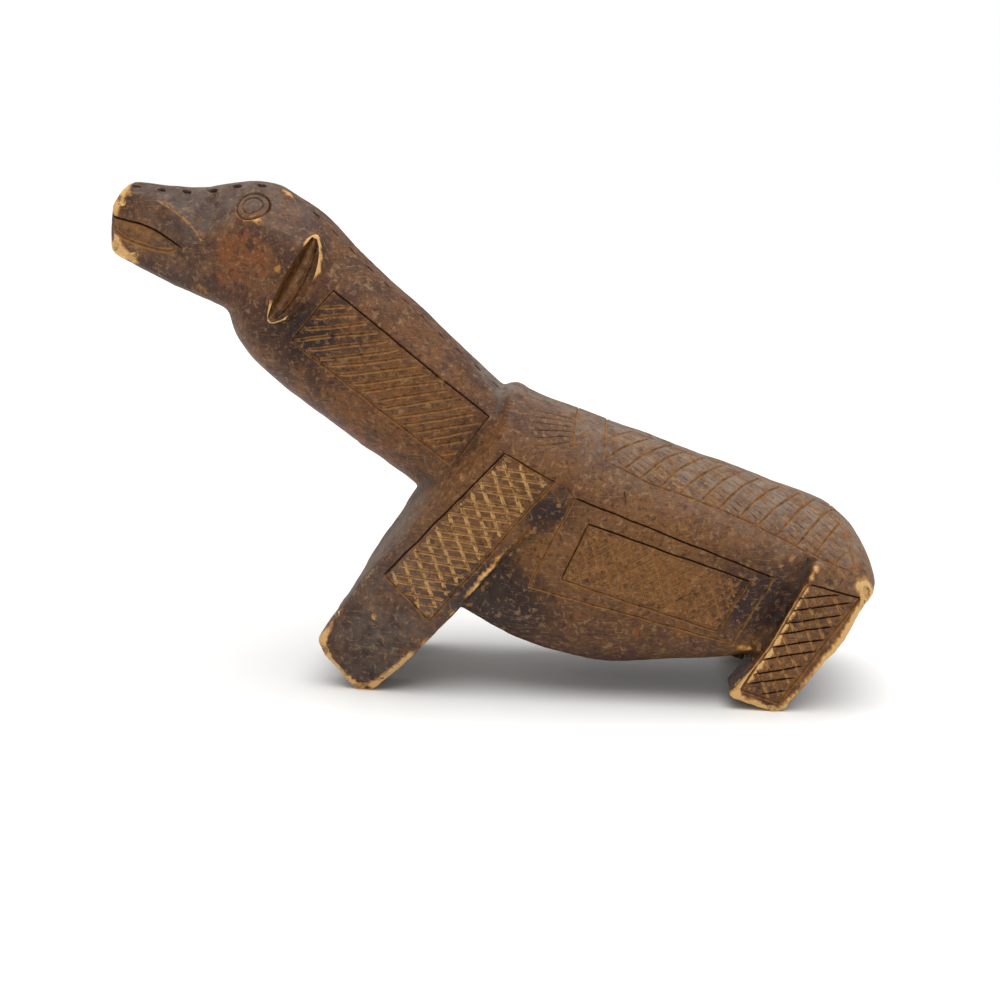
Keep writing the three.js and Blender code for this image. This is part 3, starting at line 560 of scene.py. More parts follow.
def hind_legs():
    gap = plank("hind_gap", HIND_GAP, -HIND_GAP_SIDE, HIND_GAP_SIDE)
    return carve(plank("hind_legs", HIND_LEG, -FLANK - 2, FLANK + 2), gap)


def shin_taper(side):
    """What the tapering shins lose outside, below the lower edge of the leg's panel."""
    end, start = LEG_PANEL[2], LEG_PANEL[3]
    length = math.dist(start, end)

    def reach(x, z):
        return abs((x - start[0]) * (end[1] - start[1]) - (z - start[1]) * (end[0] - start[0])) / length

    foot = reach(-49, 0)

    def place(x, y, z):
        inward = reach(x, z) / foot * (FLANK - FOOT_SIDE)
        return x, side * (OUTSIDE if y > 0.5 else FLANK - inward), z

    return plank("taper", [start, (-100, 113.6), (-120, -20), (30.3, -20), end], 0, 1, place)


def from_neck(along, offset):
    """Distance along the neck and offset from its axis, as x and height."""
    return (NECK_START[0] - math.cos(NECK_SLOPE) * along + math.sin(NECK_SLOPE) * offset,
            NECK_START[1] + math.sin(NECK_SLOPE) * along + math.cos(NECK_SLOPE) * offset)


nape, throat = line_through(NAPE_LINE), line_through(THROAT_LINE)
neck_widest, neck_girth = line_through(NECK_WIDEST_LINE), line_through(NECK_GIRTH_LINE)


def neck():
    sides = 72
    stations = even(-30, 96, 42) + [98.5, 101, 103.5, 106, 108, 110, 111.5, 113]

    def place(ring, side):
        along = stations[ring]
        y, offset = round_section(side / sides, nape(along), throat(along), neck_widest(along),
                                  neck_girth(along), NECK_POWER, NECK_POWER)
        x, z = from_neck(along, offset)
        return x, y, z

    kept = plank("flats", [(-150, 0), (100, 0), (100, 250), (-150, 250)], -NECK_FLANK, NECK_FLANK)
    return trim(loft("neck", len(stations), sides, place), kept)


crown, brow, chin = line_through(CROWN_LINE), line_through(BROW_LINE), line_through(CHIN_LINE)
brow_width, cheek_width, jaw_width = (line_through(BROW_WIDTH), line_through(CHEEK_WIDTH),
                                      line_through(JAW_WIDTH))


def head_section(x):
    """Half of the head's section, from the ridge round the cheek to the chin, as (y, height)."""
    top, low = (brow_width(x), brow(x)), (jaw_width(x), chin(x) + JAW_FACET_UP)
    cheek = 2 * cheek_width(x) - (top[0] + low[0]) / 2
    round_cheek = []
    for share in even(0, 1, 6):
        bend = 2 * share * (1 - share)
        y = (1 - share) ** 2 * top[0] + bend * cheek + share ** 2 * low[0]
        round_cheek.append((y, top[1] + (low[1] - top[1]) * share))
    return [(0, crown(x)), (MANE_SIDE, crown(x) - 0.5), *round_cheek, (low[0] - JAW_FACET_IN, chin(x)),
            (0, chin(x) - 0.3)]


def head():
    stations = sorted(even(-160, -64, 48) + [-114.2, -115.2, -113.2])
    half = len(head_section(stations[0])) - 1

    def place(ring, side):
        x = stations[ring]
        y, z = head_section(x)[side if side <= half else 2 * half - side]
        return x, (y if side <= half else -y), z

    corners = prism([(x, y, 0) for x, y in SNOUT_CORNERS], (0, 0, 250))
    snout = trim(plank("snout", SNOUT, -OUTSIDE, OUTSIDE), blank("snout_corners", corners))
    return trim(loft("head", len(stations), 2 * half, place), snout)


def leaf(low, high, fore, aft, steps=14):
    """A leaf between two tips, each side one curve that swells by the given amount."""
    along = (high[0] - low[0], high[1] - low[1])
    length = math.hypot(*along)
    across = (-along[1] / length, along[0] / length)

    def curve(shares, swell, places):
        points = []
        for t in places:
            a, b = 3 * t * (1 - t) ** 2, 3 * t * t * (1 - t)
            share = a * shares[0] + b * shares[1] + t ** 3
            out = (a + b) * swell * 4 / 3
            points.append((low[0] + along[0] * share + across[0] * out,
                           low[1] + along[1] * share + across[1] * out))
        return points

    places = even(0, 1, steps)
    return curve((0.12, 0.8), -aft, places[:-1]) + curve((0.25, 0.75), fore, places[:0:-1])


def ear_face(z):
    """How far out the ear's face stands, closer in towards its upper tip."""
    return EAR_LOW_SIDE + (EAR_HIGH_SIDE - EAR_LOW_SIDE) * (z - EAR_LOW[1]) / (EAR_HIGH[1] - EAR_LOW[1])


def ear(side):
    outline = leaf(EAR_LOW, EAR_HIGH, EAR_FORE, EAR_AFT)

    def place(x, y, z):
        return x, side * (ear_face(z) if y > 0.5 else EAR_ROOT), z

    return plank("ear", outline, 0, 1, place)


def rough_figure():
    figure = trunk()
    for side in (-1, 1):
        carve(figure, hollow(FRONT_HOLLOW, FRONT_HOLLOW_RISE, FRONT_HOLLOW_SLOPE, side))
        carve(figure, hollow(HIND_HOLLOW, HIND_HOLLOW_RISE, HIND_HOLLOW_SLOPE, side))
    join(figure, front_legs())
    for side in (-1, 1):
        carve(figure, shin_taper(side))
    join(figure, hind_legs())
    trim(figure, chest())
    trim(figure, plank("flats", [(-100, -50), (200, -50), (200, 200), (-100, 200)], -FLANK, FLANK))
    join(figure, neck())
    join(figure, head())
    for side in (-1, 1):
        join(figure, ear(side))
    return figure


def smooth(piece, rounds, factor=0.5):
    bm = bmesh.new()
    bm.from_mesh(piece.data)
    for _ in range(rounds):
        bmesh.ops.smooth_vert(bm, verts=bm.verts, factor=factor, use_axis_x=True, use_axis_y=True,
                              use_axis_z=True)
    bm.to_mesh(piece.data)
    bm.free()


def weather(piece):
    """The knife's unevenness: broad swells, short ripples and, on the chest and shins, shallow scallops
    left by an adze. No point leaves the block that the figure was cut from."""
    mesh = piece.data
    normals = [vert.normal.copy() for vert in mesh.vertices]
    places = []
    for vert, normal in zip(mesh.vertices, normals):
        x, y, z = vert.co
        swell = noise.noise((x / SWELL, y / SWELL, z / SWELL)) * SWELL_DEPTH
        ripple = noise.noise((x / RIPPLE, y / RIPPLE + 9, z / RIPPLE)) * RIPPLE_DEPTH
        shiver = noise.noise((x / SHIVER, y / SHIVER, z / SHIVER + 5)) * SHIVER_DEPTH
        before_edge = ADZED_EDGE - x - (z - ADZED_MIDDLE) * ADZED_LEAN
        adzed = max(0, min(1, before_edge / ADZED_FADE)) * (z < ADZED_TOP)
        scallop = noise.voronoi((x / SCALLOP, y / SCALLOP, z / SCALLOP))[0][0] * SCALLOP_DEPTH * adzed
        from_eye = math.hypot((x - EYE_PLACE[0]) / EYE_LENGTH, (z - EYE_PLACE[1]) / EYE_HEIGHT) * 2
        bulge = EYE_BULGE * max(0, EYE_BULGE_REACH - from_eye) ** 0.5 * (abs(y) > MANE_SIDE)
        moved = vert.co + normal * (swell + ripple + shiver + scallop + bulge)
        if z < FOOT_FLAT:
            moved.z = z
        places += [min(max(value, a), b) for value, a, b in zip(moved, BLOCK_LOW, BLOCK_HIGH)]
    mesh.vertices.foreach_set("co", places)
    mesh.update()


def dress(piece):
    """An even skin over the rough cuts, its edges softened as handling softens them."""
    skin = piece.modifiers.new("skin", "REMESH")
    skin.mode = "VOXEL"
    skin.voxel_size = VOXEL
    settle(piece)
    smooth(piece, 2)
    weather(piece)


# Engraving
class Knife:
    """Cuts V-shaped strokes, kept in layers so that the strokes of one layer never meet."""

    def __init__(self, piece, seed):
        self.skin = BVHTree.FromObject(piece, bpy.context.evaluated_depsgraph_get())
        self.hand = random.Random(seed)
        self.layers = {}
        self.samples = []

    def stroke(self, layer, points, half_width, depth, bare=0.6, soot_and_shade=0.3, lean=0.0, taper=0.4):
        """One stroke through points near the skin. Bare is how much pale wood it shows, the soot setting
        how dark its bottom is with soot and painted shade, lean which wall is the wider one, and taper how
        much of its depth and width is left at its ends."""
        length = sum(math.dist(a, b) for a, b in zip(points, points[1:]))
        rings = max(3, round(length / STROKE_STEP) + 1)
        path = [self.along(points, i / (rings - 1)) for i in range(rings)]
        seats = [self.skin.find_nearest(point)[:2] for point in path]
        wander, width, bite = (self.hand.uniform(0, 100) for _ in range(3))
        spots, ups, sideways, sizes = [], [], [], []
        for i, (spot, up) in enumerate(seats):
            way = (seats[min(i + 1, rings - 1)][0] - seats[max(i - 1, 0)][0]).normalized()
            across = way.cross(up).normalized()
            run = i * length / (rings - 1)
            shake = noise.noise((run * WANDER_PACE, wander, 0)) * WANDER
            fade = taper + (1 - taper) * min(1, min(run, length - run) / (half_width * RUN_OUT))
            broader = 1 + WIDTH_CHANGE * noise.noise((run * WIDTH_PACE, width, 7))
            deeper = 1 + DEPTH_CHANGE * noise.noise((run * DEPTH_PACE, bite, 3))
            spots.append(spot + across * shake)
            ups.append(up)
            sideways.append(across)
            sizes.append((half_width * (0.5 + 0.5 * fade) * broader, depth * fade * deeper))

        def place(ring, side):
            wide, deep = sizes[ring]
            if side == 0:
                return spots[ring] - ups[ring] * deep + sideways[ring] * lean * wide
            swing = wide * (1 + STROKE_PROUD / deep) * (1 if side == 2 else -1)
            return spots[ring] + ups[ring] * STROKE_PROUD + sideways[ring] * swing

        bm = tube(rings, 3, place)
        part = bpy.data.meshes.new("stroke")
        bm.to_mesh(part)
        bm.free()
        self.layers.setdefault(layer, bmesh.new()).from_mesh(part)
        bpy.data.meshes.remove(part)
        self.samples += [(spot, bare, soot_and_shade) for spot in spots]

    @staticmethod
    def along(points, share):
        """The point at a share of the way along a polyline."""
        spans = [math.dist(a, b) for a, b in zip(points, points[1:])]
        left = share * sum(spans)
        for a, b, part in zip(points, points[1:], spans):
            if left <= part or b is points[-1]:
                return Vector(a).lerp(Vector(b), min(1, left / max(part, 1e-6)))
            left -= part

    def cut(self, piece):
        for name, bm in self.layers.items():
            tool = bpy.data.meshes.new(name)
            bm.to_mesh(tool)
            bm.free()
            holder = bpy.data.objects.new(name, tool)
            bpy.context.scene.collection.objects.link(holder)
            carve(piece, holder)


def hatch(corners, start_angle, end_angle, pitch, hand, stops=(1.2, 1.2)):
    """Nearly parallel lines across a panel, as pairs of points in side view. The angle turns from the
    first line to the last, and stops are how far short of the panel's edges they end."""
    middle = math.radians((start_angle + end_angle) / 2)
    ax, az = math.cos(middle), math.sin(middle)
    offsets = [z * ax - x * az for x, z in corners]
    low, high = min(offsets), max(offsets)
    count = int((high - low) / pitch - HATCH_MARGIN)
    centre = (sum(x for x, z in corners) / 4, sum(z for x, z in corners) / 4)
    lines = []
    for i in range(count):
        share = 0.5 if count < 2 else i / (count - 1)
        angle = end_angle + (start_angle - end_angle) * share + hand.uniform(-HAND_TURN, HAND_TURN)
        turn = math.radians(angle)
        bx, bz = math.cos(turn), math.sin(turn)
        shift = hand.uniform(-HAND_SHIFT, HAND_SHIFT)
        level = low + (high - low) / 2 + (i - (count - 1) / 2) * pitch + shift * pitch
        along = centre[0] * ax + centre[1] * az
        base = (ax * along - az * level, az * along + ax * level)
        ends = []
        for (x0, z0), (x1, z1) in zip(corners, corners[1:] + corners[:1]):
            a = (z0 - base[1]) * bx - (x0 - base[0]) * bz
            b = (z1 - base[1]) * bx - (x1 - base[0]) * bz
            if a * b < 0:
                ends.append((x0 + (x1 - x0) * a / (a - b), z0 + (z1 - z0) * a / (a - b)))
        if len(ends) == 2:
            left, right = sorted(ends)
            if math.dist(left, right) > SHORTEST_LINE + sum(stops):
                first, last = (stop + hand.uniform(0, HAND_STOP) for stop in stops)
                lines.append((toward(left, right, first), toward(right, left, last)))
    return lines


def on_side(point, side, out):
    return (point[0], side * out, point[1])


def frame_lines(knife, corners, side, out, bare, soot_and_shade):
    for i, corner in enumerate(corners):
        end = corners[(i + 1) % len(corners)]
        knife.stroke(f"edges_{i % 2}", [on_side(corner, side, out), on_side(end, side, out)], *PANEL_EDGE,
                     bare[i], soot_and_shade[i], taper=0.8)


def fill_panel(knife, layer, corners, side, out, angles, pitch, half_width, depth, bare, soot_and_shade, lean=0.0,
               stops=(1.2, 1.2)):
    for left, right in hatch(corners, *angles, pitch, knife.hand, stops):
        sag = knife.hand.uniform(-HAND_SAG, HAND_SAG)
        middle = ((left[0] + right[0]) / 2, (left[1] + right[1]) / 2 + sag)
        knife.stroke(layer, [on_side(point, side, out) for point in (left, middle, right)], half_width,
                     depth, bare, soot_and_shade, lean * side)


def engrave_panels(knife, side):
    for corners, out, bare, soot_and_shade, hatchings in PANELS:
        frame_lines(knife, corners, side, out, bare, soot_and_shade)
        for layer, hatching in zip(("first", "second"), hatchings):
            fill_panel(knife, layer, corners, side, out, *hatching)


band_height = line_through(BAND_EDGE)


def band_turn(x):
    """How far round the trunk the lower edge of the back's band lies."""
    up = (band_height(x) - trunk_widest(x)) / (trunk_top(x) - trunk_widest(x))
    return math.acos(min(1, max(0, up)) ** (trunk_power(x) / 2)) / (2 * math.pi)


def over_back(x0, share0, x1, share1, side, steps=5):
    """Points over the back from one (x, share of the way down to the band's edge) to another."""
    points = []
    for t in even(0, 1, steps):
        x = x0 + (x1 - x0) * t
        turn = side * (share0 + (share1 - share0) * t) * band_turn(x)
        points.append(trunk_skin(x, turn))
    return points


def engrave_band(knife, side):
    """The back's band: a line along its lower edge, long lines leaning from there to the ridge, and
    short strokes that fill the strips between them."""
    knife.stroke("edges_0", over_back(BAND_START, 1, BAND_END, 1, side, 16), *BAND_EDGE_CUT)
    knife.stroke("edges_1", over_back(BAND_END + 1.5, 0.94, BAND_END - 4, 0.03, side), *BAND_REAR_CUT)
    x = BAND_START - BAND_LEAN + 4
    while x < BAND_END - 3:
        start = max(0.0, (BAND_START + 1 - x) / BAND_LEAN)
        end = min(0.97, (BAND_END - 2 - x) / BAND_LEAN)
        if end - start > 0.15:
            lean = knife.hand.uniform(-0.8, 0.8)
            near = over_back(x + BAND_LEAN * start, 1 - start, x + BAND_LEAN * end + lean, 1 - end, side)
            knife.stroke("first", near, *BAND_LONG_CUT)
            strip_strokes(knife, side, x, start, end)
        x += BAND_PITCH + knife.hand.uniform(-0.5, 0.5)


def strip_strokes(knife, side, x, start, end):
    """Short strokes across one strip, from one long line to the next."""
    share = start + 0.05
    while share < end - 0.03:
        at = x + BAND_LEAN * share
        across = BAND_PITCH * STRIP_REACH
        if at + across < BAND_END - 2:
            points = over_back(at + 1.3, 1 - share, at + 1.3 + across * 0.8, 1 - share + 0.05, side, 2)
            knife.stroke("second", points, 0.36, 0.34, knife.hand.choice((0.25, 0.5, 0.9)), 0.25)
        share += STRIP_PITCH + knife.hand.uniform(-0.01, 0.01)


def engrave_shoulder(knife, side):
    """The curved strokes of the patch behind the neck."""
    for i in range(SHOULDER_STROKES):
        x0, x1 = 17.5 + i * 0.7, 35.5 - i * 0.3
        share = 0.36 + i * 0.11
        points = over_back(x0, share + 0.06, x1, share, side, 4)
        knife.stroke("first", points, *SHOULDER_CUT)


def engrave_back(knife):
    """The two lines that run from flank to flank over the back."""
    for x, bare in BACK_LINES:
        points = over_back(x, 1, x, 0, -1, 8) + over_back(x, 0, x, 1, 1, 8)[1:]
        knife.stroke("edges_2", points, 0.5, 0.45, bare, 0.2)


def mane_notches(knife):
    """Nicks along both edges of the mane, over the head and down the neck."""
    bm = bmesh.new()
    places = [(x, crown(x) - 1.4, 0.0) for x in even(*HEAD_NOTCHES)]
    for along in even(*NECK_NOTCHES):
        places.append((*from_neck(along, nape(along) - 1.6), NECK_SLOPE))
    for side in (-1, 1):
        for x, z, slope in places:
            at = knife.skin.find_nearest((x, side * (MANE_SIDE + 1.5), z))[0]
            tilt = Matrix.Rotation(slope + knife.hand.uniform(-0.08, 0.08), 4, "Y")
            splay = Matrix.Rotation(side * NOTCH_SPLAY, 4, "Z")
            size = Matrix.Diagonal((NOTCH_LENGTH / 2, NOTCH_WIDTH / 2, NOTCH_DEPTH, 1))
            turn = Matrix.Translation(at) @ tilt @ splay @ size
            bmesh.ops.create_icosphere(bm, subdivisions=1, radius=1, matrix=turn)
            for reach in (-0.6, 0, 0.6):
                # The nicks are dark with soot and painted shade
                knife.samples.append((turn @ Vector((reach, 0, 0)), 0.15, 1.0))
    return blank("notches", bm)


# Wear, dirt with painted shade, and dust with painted sheen, measured on the finished surface
def smoothstep(low, high, values):
    t = np.clip((values - low) / (high - low), 0, 1)
    return t * t * (3 - 2 * t)


def draw_together(bm):
    """Takes out the shortest edges, but only where the surface stays closed without them."""
    bmesh.ops.triangulate(bm, faces=[face for face in bm.faces if len(face.verts) > 3])
    for _ in range(MERGE_ROUNDS):
        merged, touched = {}, set()
        short = [edge for edge in bm.edges if edge.calc_length() < WELD]
        for edge in sorted(short, key=lambda item: item.calc_length()):
            links = [link for vert in edge.verts for link in vert.link_edges]
            near, far = ({link.other_vert(vert) for link in vert.link_edges} for vert in edge.verts)
            closed = len(near & far) == 2 and all(len(link.link_faces) == 2 for link in links)
            if closed and not touched & (near | far):
                merged[edge.verts[0]] = edge.verts[1]
                touched |= near | far
        bmesh.ops.weld_verts(bm, targetmap=merged)


def drop_strays(piece):
    """Keeps only the figure itself, without the specks that cuts leave where they graze it."""
    bm = bmesh.new()
    bm.from_mesh(piece.data)
    draw_together(bm)
    unseen, largest, strays = set(bm.verts), set(), []
    while unseen:
        group, front = set(), [unseen.pop()]
        while front:
            vert = front.pop()
            group.add(vert)
            for edge in vert.link_edges:
                other = edge.other_vert(vert)
                if other in unseen:
                    unseen.discard(other)
                    front.append(other)
        if len(group) > len(largest):
            strays += largest
            largest = group
        else:
            strays += group
    bmesh.ops.delete(bm, geom=strays, context="VERTS")
    bm.to_mesh(piece.data)
    bm.free()


def keep(mesh, name, domain, *columns):
    """Writes up to four columns of numbers as an attribute for the wood to read."""
    values = np.ones((len(columns[0]), 4))
    for i, column in enumerate(columns):
        values[:, i] = column
    mesh.attributes.new(name, "FLOAT_COLOR", domain).data.foreach_set("color", values.ravel())


def closeness(places, centre, radius):
    """1 at a centre and less the further off a place is, the same on both sides of the figure."""
    folded = np.abs(places * (0, 1, 0)) + places * (1, 0, 1)
    return np.exp(-(((folded - centre) / radius) ** 2).sum(axis=1))


def mark_cuts(mesh, knife):
    """Which faces are cut, how bare the nearest stroke is, and how dark it is with soot and painted shade,
    darker deeper in the cut.
    """
    strokes = tree_of([spot for spot, _, _ in knife.samples])
    depths = np.array([knife.skin.find_nearest(vert.co)[3] for vert in mesh.vertices])
    nearest = [strokes.find(vert.co)[1] for vert in mesh.vertices]
    bare = np.array([knife.samples[i][1] for i in nearest])
    soot_and_shade = np.array([knife.samples[i][2] for i in nearest]) * smoothstep(*SOOT_AND_SHADE_DEPTHS, depths)
    corners = np.empty(len(mesh.loops), dtype=np.int32)
    mesh.loops.foreach_get("vertex_index", corners)
    face_depths = np.array([knife.skin.find_nearest(face.center)[3] for face in mesh.polygons])
    cut = np.repeat(face_depths > CUT_LEAST, [face.loop_total for face in mesh.polygons])
    keep(mesh, "marks", "CORNER", cut, bare[corners], soot_and_shade[corners])


def mark_wear(mesh, skin_points, skin_rise):
    """How worn each point is, how dark with dirt and painted shade where it lies back from its
    surroundings, and how far it is turned upwards.
    """
    places, normals = vectors(mesh.vertices, "co"), vectors(mesh.vertices, "normal")
    rise = np.array([spread_over(skin_points, skin_rise, vert.co) for vert in mesh.vertices])
    wear = np.full(len(places), WORN_ANYWHERE)
    for *centre, radius, amount in WORN:
        wear += amount * closeness(places, centre, radius)
    keep(mesh, "age", "POINT", smoothstep(*WORN_HEIGHTS, rise * wear), smoothstep(*DIRT_AND_SHADE_DEPTHS, -rise),
         smoothstep(*FACING_UP, normals[:, 2]))


def mark_ground(mesh):
    """How golden, orange, dark and dusty each point is, the darkness partly painted shade and the dust
    partly painted sheen and light; one half is neither more nor less than usual.
    """
    places = vectors(mesh.vertices, "co")
    ground = np.zeros((len(places), 4))
    for *centre, radius, golden, orange, dark_and_shade, dust_and_sheen_amount in PATCHES:
        ground += closeness(places, centre, radius)[:, None] * (golden, orange, dark_and_shade, dust_and_sheen_amount)
    keep(mesh, "ground", "POINT", *np.clip(ground * 0.5 + 0.5, 0, 1).T)


def vectors(items, field):
    values = np.empty(len(items) * 3)
    items.foreach_get(field, values)
    return values.reshape(-1, 3)


def bend(mesh):
    """How far each point stands above the mean of its surroundings, spread over a few millimetres."""
    places, normals = vectors(mesh.vertices, "co"), vectors(mesh.vertices, "normal")
    edges = np.empty(len(mesh.edges) * 2, dtype=np.int32)
    mesh.edges.foreach_get("vertices", edges)
    edges = edges.reshape(-1, 2)
    ends = np.concatenate([edges[:, 0], edges[:, 1]])
    others = np.concatenate([edges[:, 1], edges[:, 0]])
    number = np.bincount(ends, minlength=len(places))
    spread = places.copy()
    for _ in range(4):
        spread = np.stack([np.bincount(ends, weights=spread[others, axis], minlength=len(places)) / number
                           for axis in range(3)], axis=1)
    return ((places - spread) * normals).sum(axis=1)


def tree_of(points):
    tree = kdtree.KDTree(len(points))
    for i, point in enumerate(points):
        tree.insert(point, i)
    tree.balance()
    return tree


def spread_over(tree, values, place, number=3):
    """The mean of the values at the points nearest to a place."""
    found = tree.find_n(place, number)
    return sum(values[i] for _, i, _ in found) / len(found)


# Wood
def linear(code):
    """An sRGB hex colour as linear numbers."""
    shares = [int(code[i:i + 2], 16) / 255 for i in (1, 3, 5)]
    return [c / 12.92 if c <= 0.04045 else ((c + 0.055) / 1.055) ** 2.4 for c in shares] + [1]


def add(tree, kind, inputs, output=0, **settings):
    """Adds a node with its settings and links, and gives one of its outputs. An input is a number, a
    colour or another node's output."""
    node = tree.nodes.new("ShaderNode" + kind)
    for name, value in settings.items():
        setattr(node, name, value)
    for name, value in inputs.items():
        if isinstance(value, bpy.types.NodeSocket):
            tree.links.new(value, node.inputs[name])
        else:
            node.inputs[name].default_value = value
    return node.outputs[output]


def weigh(tree, fields, weights, total=0.0):
    """The sum of the named fields by their weights."""
    for name, weight in weights.items():
        total = add(tree, "Math", {0: fields[name], 1: weight, 2: total}, operation="MULTIPLY_ADD")
    return total


def coat(tree, fields, colour, coats):
    """Lays coats over a colour, each by its mask."""
    for mask, strength, cover in coats:
        share = add(tree, "Math", {0: fields[mask], 1: strength}, operation="MULTIPLY")
        colour = add(tree, "Mix", {0: share, 6: colour, 7: linear(cover)}, 2, data_type="RGBA")
    return colour


def wood_fields(tree):
    """What the wood's colour, gloss and bumps go by: what is kept on the mesh, noise, and masks."""
    place = add(tree, "TexCoord", {}, "Object")
    fields = {}
    for name, parts in KEPT.items():
        kept = add(tree, "Attribute", {}, "Color", attribute_name=name)
        split = add(tree, "SeparateColor", {"Color": kept}).node
        fields.update(zip(parts, (*split.outputs, kept.node.outputs["Alpha"])))
    for name, (size, detail, roughness, warp, drawn_out, turn) in NOISES.items():
        turned = add(tree, "Mapping", {"Vector": place, "Rotation": turn,
                                       "Scale": [1 / share for share in drawn_out]})
        fields[name] = add(tree, "TexNoise", {"Vector": turned, "Scale": 1 / (size * MM), "Detail": detail,
                                              "Roughness": roughness, "Distortion": warp}, "Fac")
    uncut = weigh(tree, fields, {"cut": -1}, 1)
    broken = weigh(tree, fields, {"blotches": 1, "mottle": 1}, 0.1)
    rubbed_off = add(tree, "Math", {0: fields["worn"], 1: broken}, operation="MULTIPLY")
    fields["edge"] = add(tree, "Math", {0: rubbed_off, 1: uncut}, operation="MULTIPLY")
    for name, (weights, low, high) in MASKS.items():
        total = weigh(tree, fields, weights)
        fields[name] = add(tree, "MapRange", {"Value": total, "From Min": low, "From Max": high},
                           interpolation_type="SMOOTHSTEP")
    hairlines = 0.0
    for name in SCRATCHES:
        hairlines = add(tree, "Math", {0: hairlines, 1: fields[name]}, operation="MAXIMUM")
    fields["scuffs"] = add(tree, "Math", {0: hairlines, 1: fields["rubbed"]}, operation="MULTIPLY")
    # The dust and painted sheen lie thicker on faces turned up, as top light would
    facing_up_weight = weigh(tree, fields, {"upward": 0.4}, 0.6)
    dust_and_sheen_on_tops = add(tree, "Math", {0: fields["dust_and_sheen_places"], 1: facing_up_weight}, operation="MULTIPLY")
    fields["dust_and_sheen"] = add(tree, "Math", {0: dust_and_sheen_on_tops, 1: fields["dust_and_sheen_breakup"]}, operation="MULTIPLY")
    fields["shown"] = add(tree, "Math", {0: fields["bare"], 1: fields["grained"]}, operation="MULTIPLY")
    return fields


def patinated_wood():
    """A hardwood darkened by smoke, oil and hands over many years, then scuffed: its satin patina is
    mottled and breaks up at the edges, where the pale wood shows, and the newer knife cuts are lighter.
    Painted shade darkens its hollows, the deep parts of its cuts and the places behind the legs and under
    the belly, and painted sheen greys its tops."""
    material = bpy.data.materials.new("smoke_darkened_hardwood")
    material.use_nodes = True
    tree = material.node_tree
    fields = wood_fields(tree)
    patina = coat(tree, fields, linear(PATINA), PATINA_COATS)
    surface = coat(tree, fields, patina, WEAR_DIRT_SHADE_AND_SHEEN_COATS)
    fresh = coat(tree, fields, linear(GROOVE_WOOD), [("freshest", 1, PALE)])
    walls = add(tree, "Mix", {0: fields["shown"], 6: patina, 7: fresh}, 2, data_type="RGBA")
    walls = coat(tree, fields, walls, [("soot_and_shade_cover", 1, SOOT_AND_SHADE)])
    surface = add(tree, "Mix", {0: fields["cut"], 6: surface, 7: walls}, 2, data_type="RGBA")
    bumps = add(tree, "Bump", {"Strength": BUMP_STRENGTH, "Distance": BUMP_DEPTH * MM,
                               "Height": weigh(tree, fields, BUMPS)})
    shader = tree.nodes["Principled BSDF"].inputs
    tree.links.new(surface, shader["Base Color"])
    tree.links.new(weigh(tree, fields, ROUGHER, ROUGHNESS), shader["Roughness"])
    tree.links.new(bumps, shader["Normal"])
    shader["IOR"].default_value = WOOD_IOR
    shader["Specular IOR Level"].default_value = WOOD_SPECULAR
    return material


# The face
def mirrored(points, side):
    return [(x, side * y, z) for x, y, z in points]


def eye_oval(side, share, start, end, steps=10):
    """Part of an oval round the eye, from one share of a turn to another."""
    points = []
    for turn in even(start, end, steps):
        angle = turn * 2 * math.pi
        x = EYE_PLACE[0] + math.cos(angle) * EYE_LENGTH / 2 * share
        z = EYE_PLACE[1] + math.sin(angle) * EYE_HEIGHT / 2 * share
        points.append((x, side * (20.5 - (z - 188) * 0.8), z))
    return points


def engrave_face(knife, side):
    for share, half_width, depth, soot_and_shade in EYE_CUTS:
        over, under = eye_oval(side, share, -0.03, 0.53), eye_oval(side, share, 0.5, 1.0)
        # The upper halves are darker than the lower ones, painted shade under the brow
        knife.stroke("edges_0", over, half_width, depth, 0.35, soot_and_shade, taper=0.9)
        knife.stroke("edges_1", under, half_width, depth, 0.6, soot_and_shade * 0.6, taper=0.9)
    upper, lower = mirrored(UPPER_LIP, side), mirrored(LOWER_LIP, side)
    knife.stroke("edges_0", upper, *UPPER_LIP_CUT, taper=0.6)
    knife.stroke("edges_1", lower, *LOWER_LIP_CUT, taper=0.5)
    knife.stroke("second", lowered(upper, 2.0)[1:-1], *LIP_HOLLOW_CUT, taper=0.3)
    knife.stroke("edges_2", mirrored(BROW_CREASE, side), *CREASE_CUT, taper=0.5)
    knife.stroke("first", mirrored(BROW_RISE, side), *BROW_CUT, taper=0.5)


def lowered(points, drop):
    return [(x, y, z - drop) for x, y, z in points]


def engrave_snout(knife):
    """The mouth's two lines meet their fellows round the front of the snout."""
    x, y = MOUTH_CORNER
    knife.stroke("edges_2", [(x, y, UPPER_FRONT), (x, -y, UPPER_FRONT)], *SNOUT_UPPER_CUT, taper=0.9)
    knife.stroke("edges_2", [(x, y, LOWER_FRONT), (x, -y, LOWER_FRONT)], *SNOUT_LOWER_CUT, taper=0.9)


